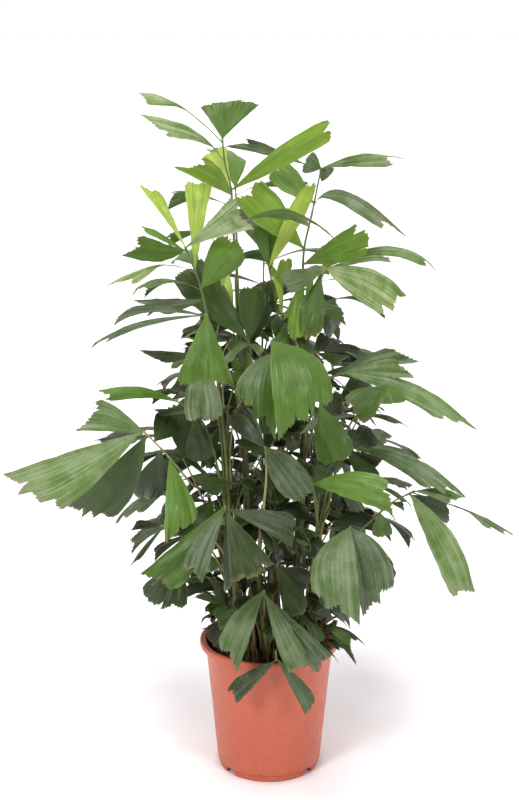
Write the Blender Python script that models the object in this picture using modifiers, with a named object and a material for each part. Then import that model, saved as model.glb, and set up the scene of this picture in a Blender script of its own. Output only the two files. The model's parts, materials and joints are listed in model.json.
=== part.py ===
# Potted fishtail palm: a clump of canes in a round nursery pot, with fronds of
# wedge-shaped, ragged-ended leaflets.  Metres, +Z up, front of the plant to -Y.
# The origin is the middle of the pot's flat underside.
import math

import bmesh
import bpy
import numpy as np
from mathutils import Vector
from mathutils.bvhtree import BVHTree

# ------------------------------------------------------------------ sizes
GAP = 0.0003            # clearance between pieces that touch
POT_HEIGHT = 0.2297
POT_RIM_R = 0.1195      # outside of the rolled lip
POT_LIP = 0.0105        # height of the lip
POT_FOOT_R = 0.0868
POT_WALL = 0.0026
POT_FLOOR_Z = 0.009     # underside of the raised floor
POT_STEPS = 24
SOIL_TOP = 0.205
NOTCH_ANGLES = (51, 99, 147, -51, -99, -147)     # drain notches, from the front
NOTCH_WIDE, NOTCH_HIGH = 0.015, 0.007

BLADE = 0.0016          # thickness of a leaflet's blade
RIB_FOOT, RIB_TIP = 0.0028, 0.0013               # radius of a frond's stalk
CANE_SIDES = 8
CANE_RINGS = (0.0, 0.06, 0.36, 0.68, 1.0)        # fractions of the cane's length
CLEAR = 0.0011          # least room kept between blades of different fronds
HUB_STEP = 0.0042       # between the leaflets of one hub
WISP, SMALL = 0.0018, 0.0036                     # length by width of a leaflet too slight to model, and of a plain one

# The front elevation: the plant as seen from EYE_BACK in front of the pot's
# axis and EYE_UP above the floor, looking EYE_DIP down.  Its units run right
# (u) and down (v), and one unit is about 1.65 mm on the plant.
EYE_BACK, EYE_UP, EYE_DIP, FOCAL = 2.54, 1.284, math.radians(14), 1578.0
AXIS_U, AXIS_V = 268.6, 400.0
SIN_DIP, COS_DIP = math.sin(EYE_DIP), math.cos(EYE_DIP)
EYE = np.array((0.0, -EYE_BACK, EYE_UP))
UP = np.array((0.0, 0.0, 1.0))


def at(u, v, y):
    """The point at (u, v) of the front elevation and at depth y."""
    a, b = (u - AXIS_U) / FOCAL, (AXIS_V - v) / FOCAL
    k = (y + EYE_BACK) / (COS_DIP + b * SIN_DIP)
    return np.array((a * k, y, EYE_UP + (-SIN_DIP + b * COS_DIP) * k))


def seen(p):
    """Where a point shows in the front elevation."""
    x, y, z = p
    up = (y + EYE_BACK) * SIN_DIP + (z - EYE_UP) * COS_DIP
    deep = (y + EYE_BACK) * COS_DIP + (EYE_UP - z) * SIN_DIP
    return AXIS_U + FOCAL * x / deep, AXIS_V - FOCAL * up / deep


def unit(v):
    return v / max(float(np.linalg.norm(v)), 1e-9)


# ------------------------------------------------------------------ canes
# name: foot (x, y) in the soil, way up in the elevation (u, v, y), radii
CANES = {
    "cane_left": ((-0.045, -0.030), [(232, 570, -0.035), (226, 480, -0.030), (221, 400, -0.020), (214, 342, -0.010)], 0.0066, 0.0034),
    "cane_tall": ((-0.014, 0.014), [(249, 540, 0.020), (243, 440, 0.022), (240, 350, 0.024), (236, 278, 0.018)], 0.0074, 0.0034),
    "cane_middle": ((0.016, -0.012), [(273, 560, 0.000), (280, 460, 0.010), (281, 380, 0.018), (277, 322, 0.018)], 0.0070, 0.0034),
    "cane_right": ((0.043, 0.018), [(296, 560, 0.022), (301, 470, 0.030), (304, 390, 0.030), (303, 322, 0.022)], 0.0072, 0.0034),
    "cane_far_right": ((0.063, -0.016), [(309, 580, -0.012), (321, 510, 0.000), (332, 462, 0.010)], 0.0064, 0.0036),
    "cane_front": ((-0.006, -0.056), [(262, 615, -0.066), (258, 560, -0.080), (262, 505, -0.090)], 0.0064, 0.0036),
    "cane_far_left": ((-0.068, 0.008), [(235, 600, 0.000), (221, 545, -0.010), (208, 497, -0.024)], 0.0062, 0.0036),
    "cane_back": ((0.010, 0.062), [(274, 560, 0.068), (267, 470, 0.080), (262, 400, 0.088)], 0.0068, 0.0036),
    "cane_back_right": ((0.056, 0.052), [(302, 540, 0.066), (314, 455, 0.092)], 0.0064, 0.0036),
    "cane_back_left": ((-0.048, 0.054), [(242, 540, 0.068), (226, 452, 0.092)], 0.0064, 0.0036),
}

# ------------------------------------------------------------------ fronds
# Each front frond: the cane it leaves and how far up, its stalk in the
# elevation (u, v, y), and its leaflets.  A leaflet is its seat on the stalk
# (None for the stalk's end), its tip (u, v, y), its width in units, the roll of
# its blade off facing the front, its outline, and its age tint (0 old and
# dark, 3 new and yellow-green).  Outlines: F a fan; A, B, L, R a wedge whose
# short side lies above, below, left or right; FA, FB, FL, FR a fan a little
# shorter on that side.  Further letters: n widens evenly, w or W has wide
# shoulders, s short side much shorter, e end nearly square, k or K stalked,
# a, h or H arched, b bowed in its own plane, u underside to the front.
FRONDS = [
    ("crown", "cane_tall", 1.0, [(233, 240, 0.010), (230, 190, 0.000), (224, 165, -0.004), (221, 139, 0.000)], [
        (None, (225, 101, 0.030), 61, 0, "FLne", 1.0),
        (None, (134, 89, 0.030), 18, 24, "BKh", 1.0),
        ((223, 160), (143, 116, -0.100), 17, 10, "Bkb", 1.3),
        ((230, 190), (325, 128, -0.140), 22, 8, "Fe", 1.8),
        ((230, 188), (212, 148, 0.040), 26, 5, "Fne", 2.8),
        ((229, 196), (181, 171, -0.110), 21, 8, "Aw", 1.4),
        ((235, 236), (334, 231, -0.140), 20, 60, "Bh", 0.8)]),
    ("upper_left", "cane_left", 1.0, [(207, 318, -0.020), (199, 285, -0.030), (190, 262, -0.040), (184, 247, -0.046)], [
        (None, (149, 186, 0.020), 15, 8, "FRne", 2.7),
        (None, (126, 256, -0.130), 25, 0, "Ab", 0.7),
        ((186, 246), (243, 211, -0.150), 37, 12, "Fneu", 0.9),
        (None, (137, 220, 0.060), 8, 30, "B", 2.0),
        ((194, 270), (197, 178, 0.050), 29, 0, "Fne", 2.9),
        ((196, 272), (104, 284, -0.130), 16, 34, "BKh", 2.1),
        ((201, 290), (130, 290, -0.010), 7, 50, "Bkh", 0.2),
        ((203, 300), (133, 300, -0.060), 19, 8, "Bs", 0.7),
        ((202, 288), (233, 242, -0.075), 36, 5, "F", 1.2)]),
    ("left_fan", "cane_left", 0.86, [(212, 334, -0.080), (204, 314, -0.140)], [
        (None, (204, 383, -0.205), 59, 0, "Fnea", 1.7),
        (None, (88, 342, -0.170), 9, 50, "Bae", 0.4),
        (None, (107, 319, -0.070), 9, 40, "Aa", 0.3)]),
    ("upper_right", "cane_right", 1.0, [(302, 290, 0.020), (303, 250, 0.012), (311, 213, 0.004), (320, 168, 0.000)], [
        ((321, 162), (304, 161, -0.020), 22, 0, "F", 0.8),
        ((320, 160), (328, 176, -0.014), 17, 0, "F", 0.6),
        ((321, 162), (398, 152, -0.110), 15, 36, "Bae", 0.9),
        ((319, 166), (226, 145, 0.080), 12, 10, "Aku", 1.5),
        ((312, 203), (275, 168, 0.024), 26, 10, "Feu", 1.3),
        ((311, 213), (403, 232, -0.140), 16, 36, "BHe", 1.0),
        ((303, 249), (246, 190, -0.020), 36, 8, "Fe", 2.0),
        ((302, 264), (359, 240, -0.150), 40, 0, "Fn", 1.2)]),
    ("right_hub", "cane_right", 0.92, [(312, 292, -0.020), (323, 267, -0.060)], [
        (None, (410, 297, -0.180), 36, 8, "Bbwu", 0.9),
        (None, (437, 269, -0.060), 13, 32, "BHe", 0.6),
        (None, (396, 257, 0.030), 8, 20, "A", 0.3),
        (None, (282, 284, -0.100), 22, 8, "F", 1.0),
        (None, (306, 337, -0.100), 26, 8, "F", 0.3),
        (None, (337, 246, -0.070), 13, 0, "F", 1.6)]),
    ("spear", "cane_middle", 1.0, [(272, 290, 0.014), (268, 266, 0.006)], [
        (None, (312, 180, -0.030), 16, 10, "Fw", 2.6),
        (None, (256, 223, 0.000), 13, 10, "F", 1.2),
        (None, (274, 222, 0.020), 15, 10, "F", 1.4),
        ((275, 300), (286, 258, 0.000), 13, 10, "F", 2.2)]),
    ("dark_centre", "cane_tall", 0.70, [(250, 355, -0.010), (247, 340, -0.020)], [
        (None, (182, 266, -0.010), 40, 0, "Fe", 0.2),
        (None, (252, 285, -0.024), 27, 0, "F", 0.0),
        ((250, 348), (270, 276, 0.040), 26, 0, "F", 0.2)]),
    ("middle_fans", "cane_middle", 0.72, [(281, 380, -0.090), (278, 352, -0.180), (269, 341, -0.220)], [
        (None, (277, 438, -0.310), 58, 0, "RWh", 1.8),
        ((277, 351), (274, 436, -0.262), 43, 0, "LWsa", 1.3)]),
    ("middle_grey", "cane_front", 0.97, [(265, 476, -0.140), (264, 447, -0.180)], [
        (None, (304, 497, -0.240), 33, 5, "Fwa", 0.8),
        (None, (232, 409, -0.120), 26, 12, "F", 0.1)]),
    ("far_left", "cane_far_left", 1.0, [(192, 485, -0.060), (167, 456, -0.090), (142, 431, -0.110)], [
        (None, (1, 476, -0.150), 54, 0, "B", 1.6),
        (None, (79, 429, -0.060), 33, 8, "Aau", 0.7),
        (None, (62, 513, -0.020), 40, 0, "Bw", 0.2),
        ((168, 457), (164, 542, -0.170), 34, 0, "R", 2.0),
        ((160, 450), (145, 504, -0.020), 38, 0, "F", 0.1),
        ((152, 442), (172, 416, -0.040), 30, 0, "F", 0.1),
        (None, (90, 438, -0.010), 7, 40, "B", 0.3)]),
    ("left_low_fan", "cane_left", 0.52, [(205, 428, -0.060), (178, 402, -0.090)], [
        (None, (99, 390, -0.130), 13, 10, "Bbe", 1.6),
        ((190, 414), (150, 408, -0.050), 7, 20, "B", 0.2),
        ((192, 416), (200, 462, -0.080), 26, 0, "F", 0.2)]),
    ("left_inner", "cane_left", 0.76, [(210, 368, -0.040), (196, 354, -0.070)], [
        (None, (138, 350, -0.090), 14, 10, "Bs", 0.3),
        (None, (203, 423, -0.110), 38, 5, "Feu", 0.8),
        (None, (168, 391, -0.060), 20, 5, "R", 0.5)]),
    ("left_dark", "cane_far_left", 0.84, [(198, 490, -0.010), (182, 458, -0.020)], [
        (None, (184, 404, -0.030), 36, 0, "F", 0.2),
        ((190, 476), (232, 480, -0.060), 20, 20, "B", 0.8)]),
    ("front_left", "cane_left", 0.18, [(229, 545, -0.150), (223, 506, -0.240)], [
        (None, (139, 575, -0.280), 35, 0, "Be", 0.9),
        (None, (201, 582, -0.305), 24, 5, "Le", 0.7),
        (None, (292, 549, -0.300), 28, 8, "Ahu", 0.6),
        (None, (253, 575, -0.285), 50, 5, "Fne", 0.5),
        (None, (223, 596, -0.210), 26, 5, "R", 0.2)]),
    ("low_left", "cane_far_left", 0.30, [(214, 560, -0.050), (195, 550, -0.090), (177, 563, -0.110)], [
        (None, (146, 602, -0.130), 25, 0, "F", 0.2),
        (None, (160, 609, -0.150), 23, 0, "R", 0.1),
        ((200, 549), (210, 573, -0.110), 20, 0, "F", 0.5)]),
    ("left_wisps", "cane_far_left", 0.50, [(193, 528, -0.030), (160, 526, -0.050)], [
        (None, (130, 530, -0.060), 9, 20, "A", 0.2),
        (None, (128, 566, -0.080), 5, 20, "Ba", 0.4)]),
    ("front_low", "cane_front", 0.26, [(263, 612, -0.110), (263, 590, -0.140)], [
        (None, (236, 673, -0.180), 27, 0, "Lw", 1.0),
        (None, (300, 672, -0.180), 23, 0, "Fe", 1.1),
        (None, (325, 666, -0.160), 25, 5, "Fne", 1.0)]),
    ("front_dark", "cane_middle", 0.15, [(278, 592, -0.080), (276, 565, -0.110)], [
        (None, (300, 616, -0.130), 24, 0, "F", 0.6),
        (None, (307, 588, -0.100), 30, 0, "F", 0.1)]),
    ("rim_pair", "soil", (0.004, -0.082), [(275, 650, -0.112), (275, 661, -0.130)], [
        (None, (236, 704, -0.150), 18, 0, "Ae", 0.7),
        (None, (306, 716, -0.150), 16, 0, "Re", 0.9)]),
    ("right_fans", "cane_far_right", 0.30, [(326, 560, -0.090), (341, 538, -0.185), (349, 527, -0.225)], [
        (None, (359, 624, -0.305), 45, 0, "LWh", 1.3),
        (None, (362, 616, -0.280), 36, 0, "RWa", 1.1),
        (None, (396, 580, -0.160), 7, 30, "Ra", 0.4)]),
    ("right_bright", "cane_far_right", 0.60, [(316, 520, -0.090), (311, 484, -0.190)], [
        (None, (389, 511, -0.260), 30, 5, "Aew", 2.0),
        (None, (330, 462, -0.120), 18, 10, "F", 0.2)]),
    ("far_right", "cane_far_right", 0.30, [(336, 552, -0.040), (371, 520, -0.070), (392, 502, -0.080), (414, 491, -0.090)], [
        (None, (463, 496, -0.100), 14, 10, "Bb", 0.9),
        (None, (519, 531, -0.060), 14, 22, "BK", 0.9),
        (None, (475, 592, -0.140), 28, 0, "Lbew", 1.3),
        (None, (450, 526, -0.040), 21, 0, "A", 0.4),
        ((378, 512), (382, 537, -0.100), 20, 0, "F", 0.9),
        ((390, 504), (405, 511, -0.060), 7, 20, "A", 0.2)]),
    ("right_grey", "cane_far_right", 0.84, [(339, 458, -0.020), (352, 447, -0.040)], [
        (None, (465, 494, -0.130), 23, 12, "Bb", 0.7),
        (None, (430, 464, 0.030), 6, 25, "Bb", 0.4),
        (None, (374, 430, 0.000), 26, 0, "F", 0.0),
        (None, (384, 458, -0.020), 17, 10, "B", 0.1),
        (None, (376, 484, -0.060), 20, 0, "F", 0.5)]),
    ("right_middle", "cane_far_right", 0.76, [(344, 435, -0.030), (358, 412, -0.040), (386, 384, -0.070)], [
        (None, (392, 404, -0.090), 28, 0, "FL", 1.4),
        (None, (352, 412, -0.100), 34, 0, "Fe", 0.9),
        ((356, 414), (408, 425, -0.080), 6, 30, "Bb", 0.2),
        ((354, 416), (303, 431, -0.120), 15, 25, "Aa", 0.2)]),
    ("right_inner", "cane_right", 0.55, [(313, 425, -0.060), (319, 404, -0.110)], [
        (None, (338, 463, -0.140), 38, 0, "F", 1.0),
        (None, (343, 403, -0.080), 24, 0, "F", 0.2)]),
    ("right_spread", "cane_right", 0.72, [(318, 388, 0.000), (330, 378, -0.010), (343, 372, -0.020)], [
        (None, (475, 425, -0.110), 19, 8, "Bbw", 1.3),
        (None, (478, 421, 0.030), 8, 24, "Ba", 0.6),
        (None, (415, 378, -0.070), 19, 8, "Au", 0.7),
        (None, (416, 361, 0.010), 17, 12, "Awu", 0.7),
        ((330, 378), (393, 350, 0.040), 8, 25, "A", 0.2)]),
    ("right_dark", "cane_right", 0.80, [(311, 358, 0.000), (320, 350, -0.010)], [
        (None, (366, 348, 0.020), 9, 20, "Bb", 0.0),
        (None, (341, 341, 0.050), 16, 10, "F", 0.4),
        (None, (348, 356, -0.030), 12, 10, "B", 0.5),
        (None, (325, 335, -0.020), 14, 10, "F", 0.0)]),
    ("centre_bright", "cane_middle", 0.88, [(291, 306, -0.030), (301, 280, -0.060)], [
        (None, (281, 320, -0.080), 15, 10, "R", 2.0),
        (None, (294, 341, -0.100), 17, 5, "F", 2.2)]),
    ("rim_sprout_right", "soil", (0.078, -0.020), [(318, 634, -0.040), (325, 624, -0.052)], [
        (None, (365, 644, -0.070), 5, 25, "Bb", 0.5),
        (None, (350, 650, -0.080), 11, 10, "Ra", 0.8),
        (None, (356, 664, -0.090), 5, 10, "Ra", 0.4)]),
    ("rim_sprout_left", "soil", (-0.070, -0.030), [(228, 624, -0.050), (225, 607, -0.060)], [
        (None, (194, 597, -0.070), 9, 15, "A", 0.8),
        (None, (207, 577, -0.050), 8, 15, "R", 0.2),
        (None, (212, 646, -0.072), 17, 0, "F", 0.1)]),
]

# Back and side fronds, by rule: the cane and how far up, the way out
# (degrees, 0 to +X, 90 to the back), first and last pitch of the stalk, its
# length, the number of leaflets, and their length, width and age tint.
BACK_FRONDS = [
    ("back_top", "cane_tall", 0.95, 92, 72, 34, 0.19, 5, 0.135, 0.050, 1.7),
    ("back_crown", "cane_back", 1.0, 88, 80, 50, 0.25, 5, 0.140, 0.054, 1.5),
    ("back_high_left", "cane_left", 0.93, 100, 60, 14, 0.20, 5, 0.125, 0.052, 1.2),
    ("back_high_right", "cane_right", 0.85, 78, 60, 10, 0.21, 5, 0.130, 0.052, 1.2),
    ("back_upper", "cane_back", 0.90, 100, 56, 8, 0.22, 5, 0.145, 0.058, 1.0),
    ("back_upper_left", "cane_back_left", 1.0, 100, 66, 20, 0.20, 5, 0.140, 0.058, 0.9),
    ("back_upper_right", "cane_back_right", 1.0, 92, 66, 16, 0.21, 5, 0.130, 0.056, 0.9),
    ("back_mid", "cane_back", 0.70, 82, 44, -6, 0.22, 5, 0.150, 0.062, 0.7),
    ("back_mid_left", "cane_back_left", 0.76, 128, 40, -10, 0.23, 5, 0.145, 0.060, 0.6),
    ("back_mid_right", "cane_back_right", 0.76, 64, 38, -14, 0.23, 5, 0.145, 0.060, 0.6),
    ("side_left", "cane_back_left", 0.58, 152, 30, -4, 0.19, 5, 0.120, 0.054, 0.5),
    ("side_right", "cane_back_right", 0.62, 38, 34, -6, 0.15, 5, 0.110, 0.050, 0.5),
    ("back_low", "cane_back", 0.46, 98, 36, -16, 0.21, 5, 0.145, 0.062, 0.4),
    ("back_low_left", "cane_back_left", 0.38, 128, 30, -10, 0.17, 5, 0.125, 0.056, 0.3),
    ("back_low_right", "cane_back_right", 0.40, 58, 36, -16, 0.19, 5, 0.125, 0.056, 0.3),
    ("back_foot", "cane_back", 0.20, 84, 36, -20, 0.14, 3, 0.110, 0.045, 0.3),
]


# ------------------------------------------------------------------ curves
def spline(points, n):
    """n + 1 points, evenly spaced, on a smooth curve through the points."""
    pts = [np.asarray(p, float) for p in points]
    pts = [2 * pts[0] - pts[1]] + pts + [2 * pts[-1] - pts[-2]]
    out = []
    for i in range(1, len(pts) - 2):
        a, b, c, d = pts[i - 1:i + 3]
        for k in range(12):
            t = k / 12.0
            out.append(0.5 * (2 * b + (c - a) * t + (2 * a - 5 * b + 4 * c - d) * t * t
                              + (3 * b - a - 3 * c + d) * t ** 3))
    out.append(pts[-2])
    out = np.array(out)
    run = np.concatenate(([0.0], np.cumsum(np.linalg.norm(np.diff(out, axis=0), axis=1))))
    even = np.linspace(0.0, run[-1], n + 1)
    return np.stack([np.interp(even, run, out[:, k]) for k in range(3)], axis=1)


def along(path, t):
    """Point and direction at a fraction t of an evenly spaced path."""
    f = min(max(t, 0.0), 1.0) * (len(path) - 1)
    i = min(int(f), len(path) - 2)
    return path[i] + (path[i + 1] - path[i]) * (f - i), unit(path[i + 1] - path[i])


def cane_rings(name):
    """Centres of the cane's rings, from the soil up."""
    foot, way, low, _ = CANES[name]
    start = np.array((foot[0], foot[1], SOIL_TOP + GAP))
    rise = start + np.array((0.0, 0.0, 0.035))
    path = spline([start, rise] + [at(*p) for p in way], 48)
    ends = np.array([along(path, t)[0] for t in CANE_RINGS])
    lean = unit(ends[1] - ends[0])
    ends[0][2] += 1.4 * low * math.hypot(lean[0], lean[1])      # clear of the soil on its low side
    return ends


def cane_path(name, n=24):
    """The cane's middle line, evenly spaced along its straight lengths."""
    ends = cane_rings(name)
    run = np.concatenate(([0.0], np.cumsum(np.linalg.norm(np.diff(ends, axis=0), axis=1))))
    even = np.linspace(0.0, run[-1], n + 1)
    return np.stack([np.interp(even, run, ends[:, k]) for k in range(3)], axis=1)


def cane_radius(name, t):
    """The cane tapers upwards and flares a little where it leaves the soil."""
    _, _, low, high = CANES[name]
    return low + (high - low) * t + 0.35 * low * max(0.0, 1.0 - t / 0.06) ** 2


# ------------------------------------------------------------------ blades
class Leaf:
    """A leaflet's surface: p runs from the seat to the ragged end, t across."""

    def __init__(self, seat, tip, width, normal, outline, tint, twist=0.0):
        self.seat, self.tip, self.tint = seat, tip, tint
        self.outline = outline
        self.length = float(np.linalg.norm(tip - seat))
        self.axis = unit(tip - seat)
        self.normal = unit(normal - self.axis * float(normal @ self.axis))
        self.side = np.cross(self.normal, self.axis)
        self.width = width
        self.twist = twist
        self.fan = outline[0] == "F"
        self.flip = 1.0
        self.skew = 0.0
        self.short = 0.46 if "s" in outline else 0.84 if "e" in outline else 0.66
        if self.fan:
            self.short = 0.95 if "e" in outline else 0.84
        self.full, self.curve = 0.85, 1.0
        if "n" in outline:
            self.full = 0.0
        elif "w" in outline:
            self.full, self.curve = 0.65, 0.8
        elif "W" in outline:
            self.full, self.curve = 0.55, 0.55
        self.arch = 0.40 if "H" in outline else 0.22 if "h" in outline else 0.10 if "a" in outline else 0.035
        self.bow = 0.10 if "b" in outline else 0.0
        self.stalk = 0.50 if "K" in outline else 0.20 if "k" in outline else 0.03
        self.cup = 0.10

    def reach(self, t):
        """How far the vein at t reaches, as a part of the length."""
        if self.fan:
            return 1.0 + (self.short - 1.0) * abs(t) ** 1.8 + self.skew * t
        return self.short + (1.0 - self.short) * ((t + 1.0) / 2.0) ** 0.7

    def half(self, s):
        """Half width at a part s of the length."""
        q = max(0.0, (s - self.stalk) / (1.0 - self.stalk))
        grow = q if self.full == 0.0 else math.sin(0.5 * math.pi * min(1.0, q / self.full)) ** self.curve
        wane = 0.0 if self.full == 0.0 else 0.14 * max(0.0, q - 0.7) / 0.3
        return 0.0009 + 0.5 * self.width * grow * (1.0 - wane)

    def middle(self, s):
        lift = self.arch * self.length * 3.2 * s * max(0.0, 1.0 - s) ** 0.8
        return self.seat + (self.tip - self.seat) * s + self.normal * lift

    def frame(self, s):
        ang = self.twist * s
        n = self.normal * math.cos(ang) + self.side * math.sin(ang)
        w = self.side * math.cos(ang) - self.normal * math.sin(ang)
        return n, w

    def point(self, p, t):
        s = p * self.reach(t)
        h = self.half(s)
        n, w = self.frame(s)
        if self.fan:
            off = h * t
        else:
            swell = math.sin(math.pi * min(s, 1.0))
            off = self.flip * (h * (t - 1.0) + (0.05 * self.width + self.bow * self.length) * swell)
        drop = -self.cup * h * t * t
        return self.middle(s) + w * off + n * drop


def on_line(line, p):
    """The point of a polyline nearest to p."""
    best, found = 1e9, line[0]
    for a, b in zip(line[:-1], line[1:]):
        k = min(1.0, max(0.0, float((p - a) @ (b - a)) / max(1e-12, float((b - a) @ (b - a)))))
        q = a + (b - a) * k
        gap = float(np.linalg.norm(p - q))
        if gap < best:
            best, found = gap, q
    return found


def grid_size(leaf):
    """Rows along and columns across of a leaflet's solid."""
    if leaf.width * leaf.length < SMALL and leaf.bow + leaf.arch < 0.12:
        return 1, 1
    return (2, 2) if leaf.fan and leaf.width > 0.085 else (2, 1)


def blade_grid(leaf, line, sink=0.0):
    """Grid of the blade, its foot moved onto the stalk's line."""
    rows, cols = grid_size(leaf)
    foot = on_line(line, leaf.seat) - leaf.seat - leaf.axis * sink
    return [[leaf.point(i / rows, 2.0 * j / cols - 1.0) + (foot if i == 0 else 0.0) for j in range(cols + 1)]
            for i in range(rows + 1)]


def plate(leaf, thick, line):
    """Closed plate round the blade, for testing room: points and faces."""
    rows, cols = grid_size(leaf)
    grid = np.array(blade_grid(leaf, line))
    along_, across = np.gradient(grid, axis=0), np.gradient(grid, axis=1)
    normal = np.cross(along_, across)
    normal /= np.maximum(np.linalg.norm(normal, axis=2, keepdims=True), 1e-12)
    pts, n = [], (rows + 1) * (cols + 1)
    for sign in (1.0, -1.0):
        pts += [Vector(p) for p in (grid + normal * (sign * thick / 2)).reshape(-1, 3)]
    ix = lambda i, j: i * (cols + 1) + j
    faces = []
    for i in range(rows):
        for j in range(cols):
            a, b, c, d = ix(i, j), ix(i + 1, j), ix(i + 1, j + 1), ix(i, j + 1)
            faces += [(a, b, c), (a, c, d), (a + n, c + n, b + n), (a + n, d + n, c + n)]
    ring = [ix(i, 0) for i in range(rows + 1)] + [ix(rows, j) for j in range(1, cols + 1)]
    ring += [ix(i, cols) for i in range(rows - 1, -1, -1)] + [ix(0, j) for j in range(cols - 1, 0, -1)]
    for a, b in zip(ring, ring[1:] + ring[:1]):
        faces += [(a, b, b + n), (a, b + n, a + n)]
    return pts, faces


def tube(path, radius, sides=6):
    """Closed tube of a radius function, for testing room."""
    pts, faces, n = [], [], len(path)
    for i, p in enumerate(path):
        _, d = along(path, i / (n - 1))
        a = unit(np.cross(d, (0.31, 0.95, 0.07)))
        b = np.cross(d, a)
        r = radius(i / (n - 1))
        pts += [Vector(p + a * (r * math.cos(2 * math.pi * k / sides))
                       + b * (r * math.sin(2 * math.pi * k / sides))) for k in range(sides)]
    for i in range(n - 1):
        for k in range(sides):
            a, b = i * sides + k, i * sides + (k + 1) % sides
            faces += [(a, b, b + sides), (a, b + sides, a + sides)]
    faces += [(0, k, k + 1) for k in range(1, sides - 1)]
    last = (n - 1) * sides
    faces += [(last, last + k + 1, last + k) for k in range(1, sides - 1)]
    return pts, faces


class Room:
    """What is already placed, and whether a new piece has room beside it."""

    def __init__(self):
        self.items = []

    def add(self, owner, pts, faces):
        arr = np.array([tuple(p) for p in pts])
        self.items.append((owner, arr.min(0), arr.max(0), BVHTree.FromPolygons(pts, faces)))

    def hits(self, owner, pts, faces, stop=True, skip=()):
        arr = np.array([tuple(p) for p in pts])
        lo, hi = arr.min(0), arr.max(0)
        tree, count = None, 0
        for other, olo, ohi, otree in self.items:
            if other == owner or other in skip or (lo > ohi).any() or (olo > hi).any():
                continue
            if tree is None:
                tree = BVHTree.FromPolygons(pts, faces)
            found = len(tree.overlap(otree))
            if found:
                count += found
                if stop:
                    return count
        return count


def pot_profile():
    """Outside of the pot from the lip down to the foot, then in and up."""
    h, lip = POT_HEIGHT, POT_LIP
    return [(POT_RIM_R - 0.0100, h - 0.0015), (POT_RIM_R - 0.0080, h), (POT_RIM_R - 0.0025, h),
            (POT_RIM_R, h - 0.0025), (POT_RIM_R, h - lip),
            (0.1092, h - lip - 0.0030), (0.0994, 0.092), (0.0896, 0.0125), (0.0880, 0.0110), (POT_FOOT_R, 0.0)]


def rib_radius(t):
    return RIB_FOOT + (RIB_TIP - RIB_FOOT) * t ** 0.8


# ------------------------------------------------------------------ growing
def leave_cane(cane, f, toward):
    """Seat of a stalk beside its cane, and a second point a little further."""
    path = cane_path(cane)
    p, d = along(path, f)
    if f >= 0.999:
        return [p + d * (GAP + 0.0002), p + d * 0.014]
    out = toward - p
    out = unit(np.array((out[0], out[1], 0.0)))
    out = unit(out - d * float(out @ d))
    r = cane_radius(cane, f) + RIB_FOOT + 0.0014
    return [p + out * r, p + out * (r + 0.0015) + d * 0.016]


def nearest(path, u, v):
    """Fraction of the path that shows nearest to (u, v) of the elevation."""
    best, t = 1e9, 1.0
    for i in range(81):
        p, _ = along(path, i / 80.0)
        pu, pv = seen(p)
        gap = (pu - u) ** 2 + (pv - v) ** 2
        if gap < best:
            best, t = gap, i / 80.0
    return t


SIDES = {"A": (0, -1), "B": (0, 1), "L": (-1, 0), "R": (1, 0)}


def front_leaf(path, row, order, dy=0.0, droll=0.0, size=1.0):
    """A leaflet of the front table on its stalk.  Those of one hub sit a few
    millimetres apart, in their order."""
    seat_uv, (u, v, y), wide, roll, outline, tint = row
    run = float(np.linalg.norm(np.diff(path, axis=0), axis=1).sum())
    t = 1.0 - (0.0008 + HUB_STEP * order) / run if seat_uv is None else nearest(path, *seat_uv)
    seat, _ = along(path, min(t, 1.0 - 0.0008 / run))
    tip = at(u, v, y + dy)
    tip = seat + (tip - seat) * size
    scale = float(np.linalg.norm(EYE - 0.5 * (seat + tip))) / FOCAL
    axis = unit(tip - seat)
    view = unit(EYE - 0.5 * (seat + tip))
    face = unit(view - axis * float(view @ axis))
    side = np.cross(face, axis)
    ang = math.radians(roll + droll)
    # edge-on blades keep their upper face up
    turn = 1.0 if side[2] > 0 else -1.0
    normal = face * math.cos(ang) + side * (turn * math.sin(ang))
    if "u" in outline:
        normal = -face * math.cos(ang) + side * (turn * math.sin(ang))
    leaf = Leaf(seat, tip, wide * scale * size, normal, outline, tint, math.radians(6.0))
    shorter = outline[1:2] if leaf.fan else outline[0]
    if shorter in SIDES:
        mid = leaf.middle(0.5)
        a, b = seen(mid), seen(mid - leaf.side * 0.01)
        turned = (b[0] - a[0]) * SIDES[shorter][0] + (b[1] - a[1]) * SIDES[shorter][1] < 0
        if leaf.fan:
            leaf.skew = -0.13 if turned else 0.13
        elif turned:
            leaf.flip = -1.0
    return leaf


def back_leaf(path, spec, k, count, swing=0.0, size=1.0):
    """Leaflet k of a frond that follows the rule; the last one ends the stalk."""
    _, _, _, way, _, _, _, _, long_, wide, tint = spec
    last = k == count - 1
    t = 1.0 if last else 0.46 + 0.46 * k / max(1, count - 2)
    seat, d = along(path, t * 0.995)
    flat = unit(np.array((d[0], d[1], 0.0)) + 1e-6)
    across = np.array((-flat[1], flat[0], 0.0)) * (1.0 if k % 2 == 0 else -1.0)
    wave = math.sin(12.9898 * (k + 1) + 0.37 * way)
    if last:
        aim = unit(d + np.array((0, 0, -0.25)) + across * 0.12)
        outline, wide_ = "Fna" if wave > 0 else "Fa", wide * 1.4
    else:
        aim = unit(d * 0.55 + across * (0.85 + 0.15 * wave) + np.array((0.0, 0.0, -0.30 - 0.25 * (1 + wave) * (1 - t))))
        outline, wide_ = ("Bea", "Ba", "Bwa")[k % 3], wide
    aim = unit(aim + flat * (0.12 * swing) + np.array((0, 0, -0.10 * swing)))
    tip = seat + aim * long_ * size * (0.88 + 0.18 * wave * wave)
    up = unit(UP + flat * 0.25 + across * (0.30 + 0.35 * wave) + d * 0.2)
    leaf = Leaf(seat, tip, wide_ * size, up, outline, tint + 0.25 * wave, math.radians(8.0 * wave))
    leaf.arch = 0.12
    if not leaf.fan and float((leaf.side) @ d) < 0:
        leaf.flip = -1.0
    return leaf


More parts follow.
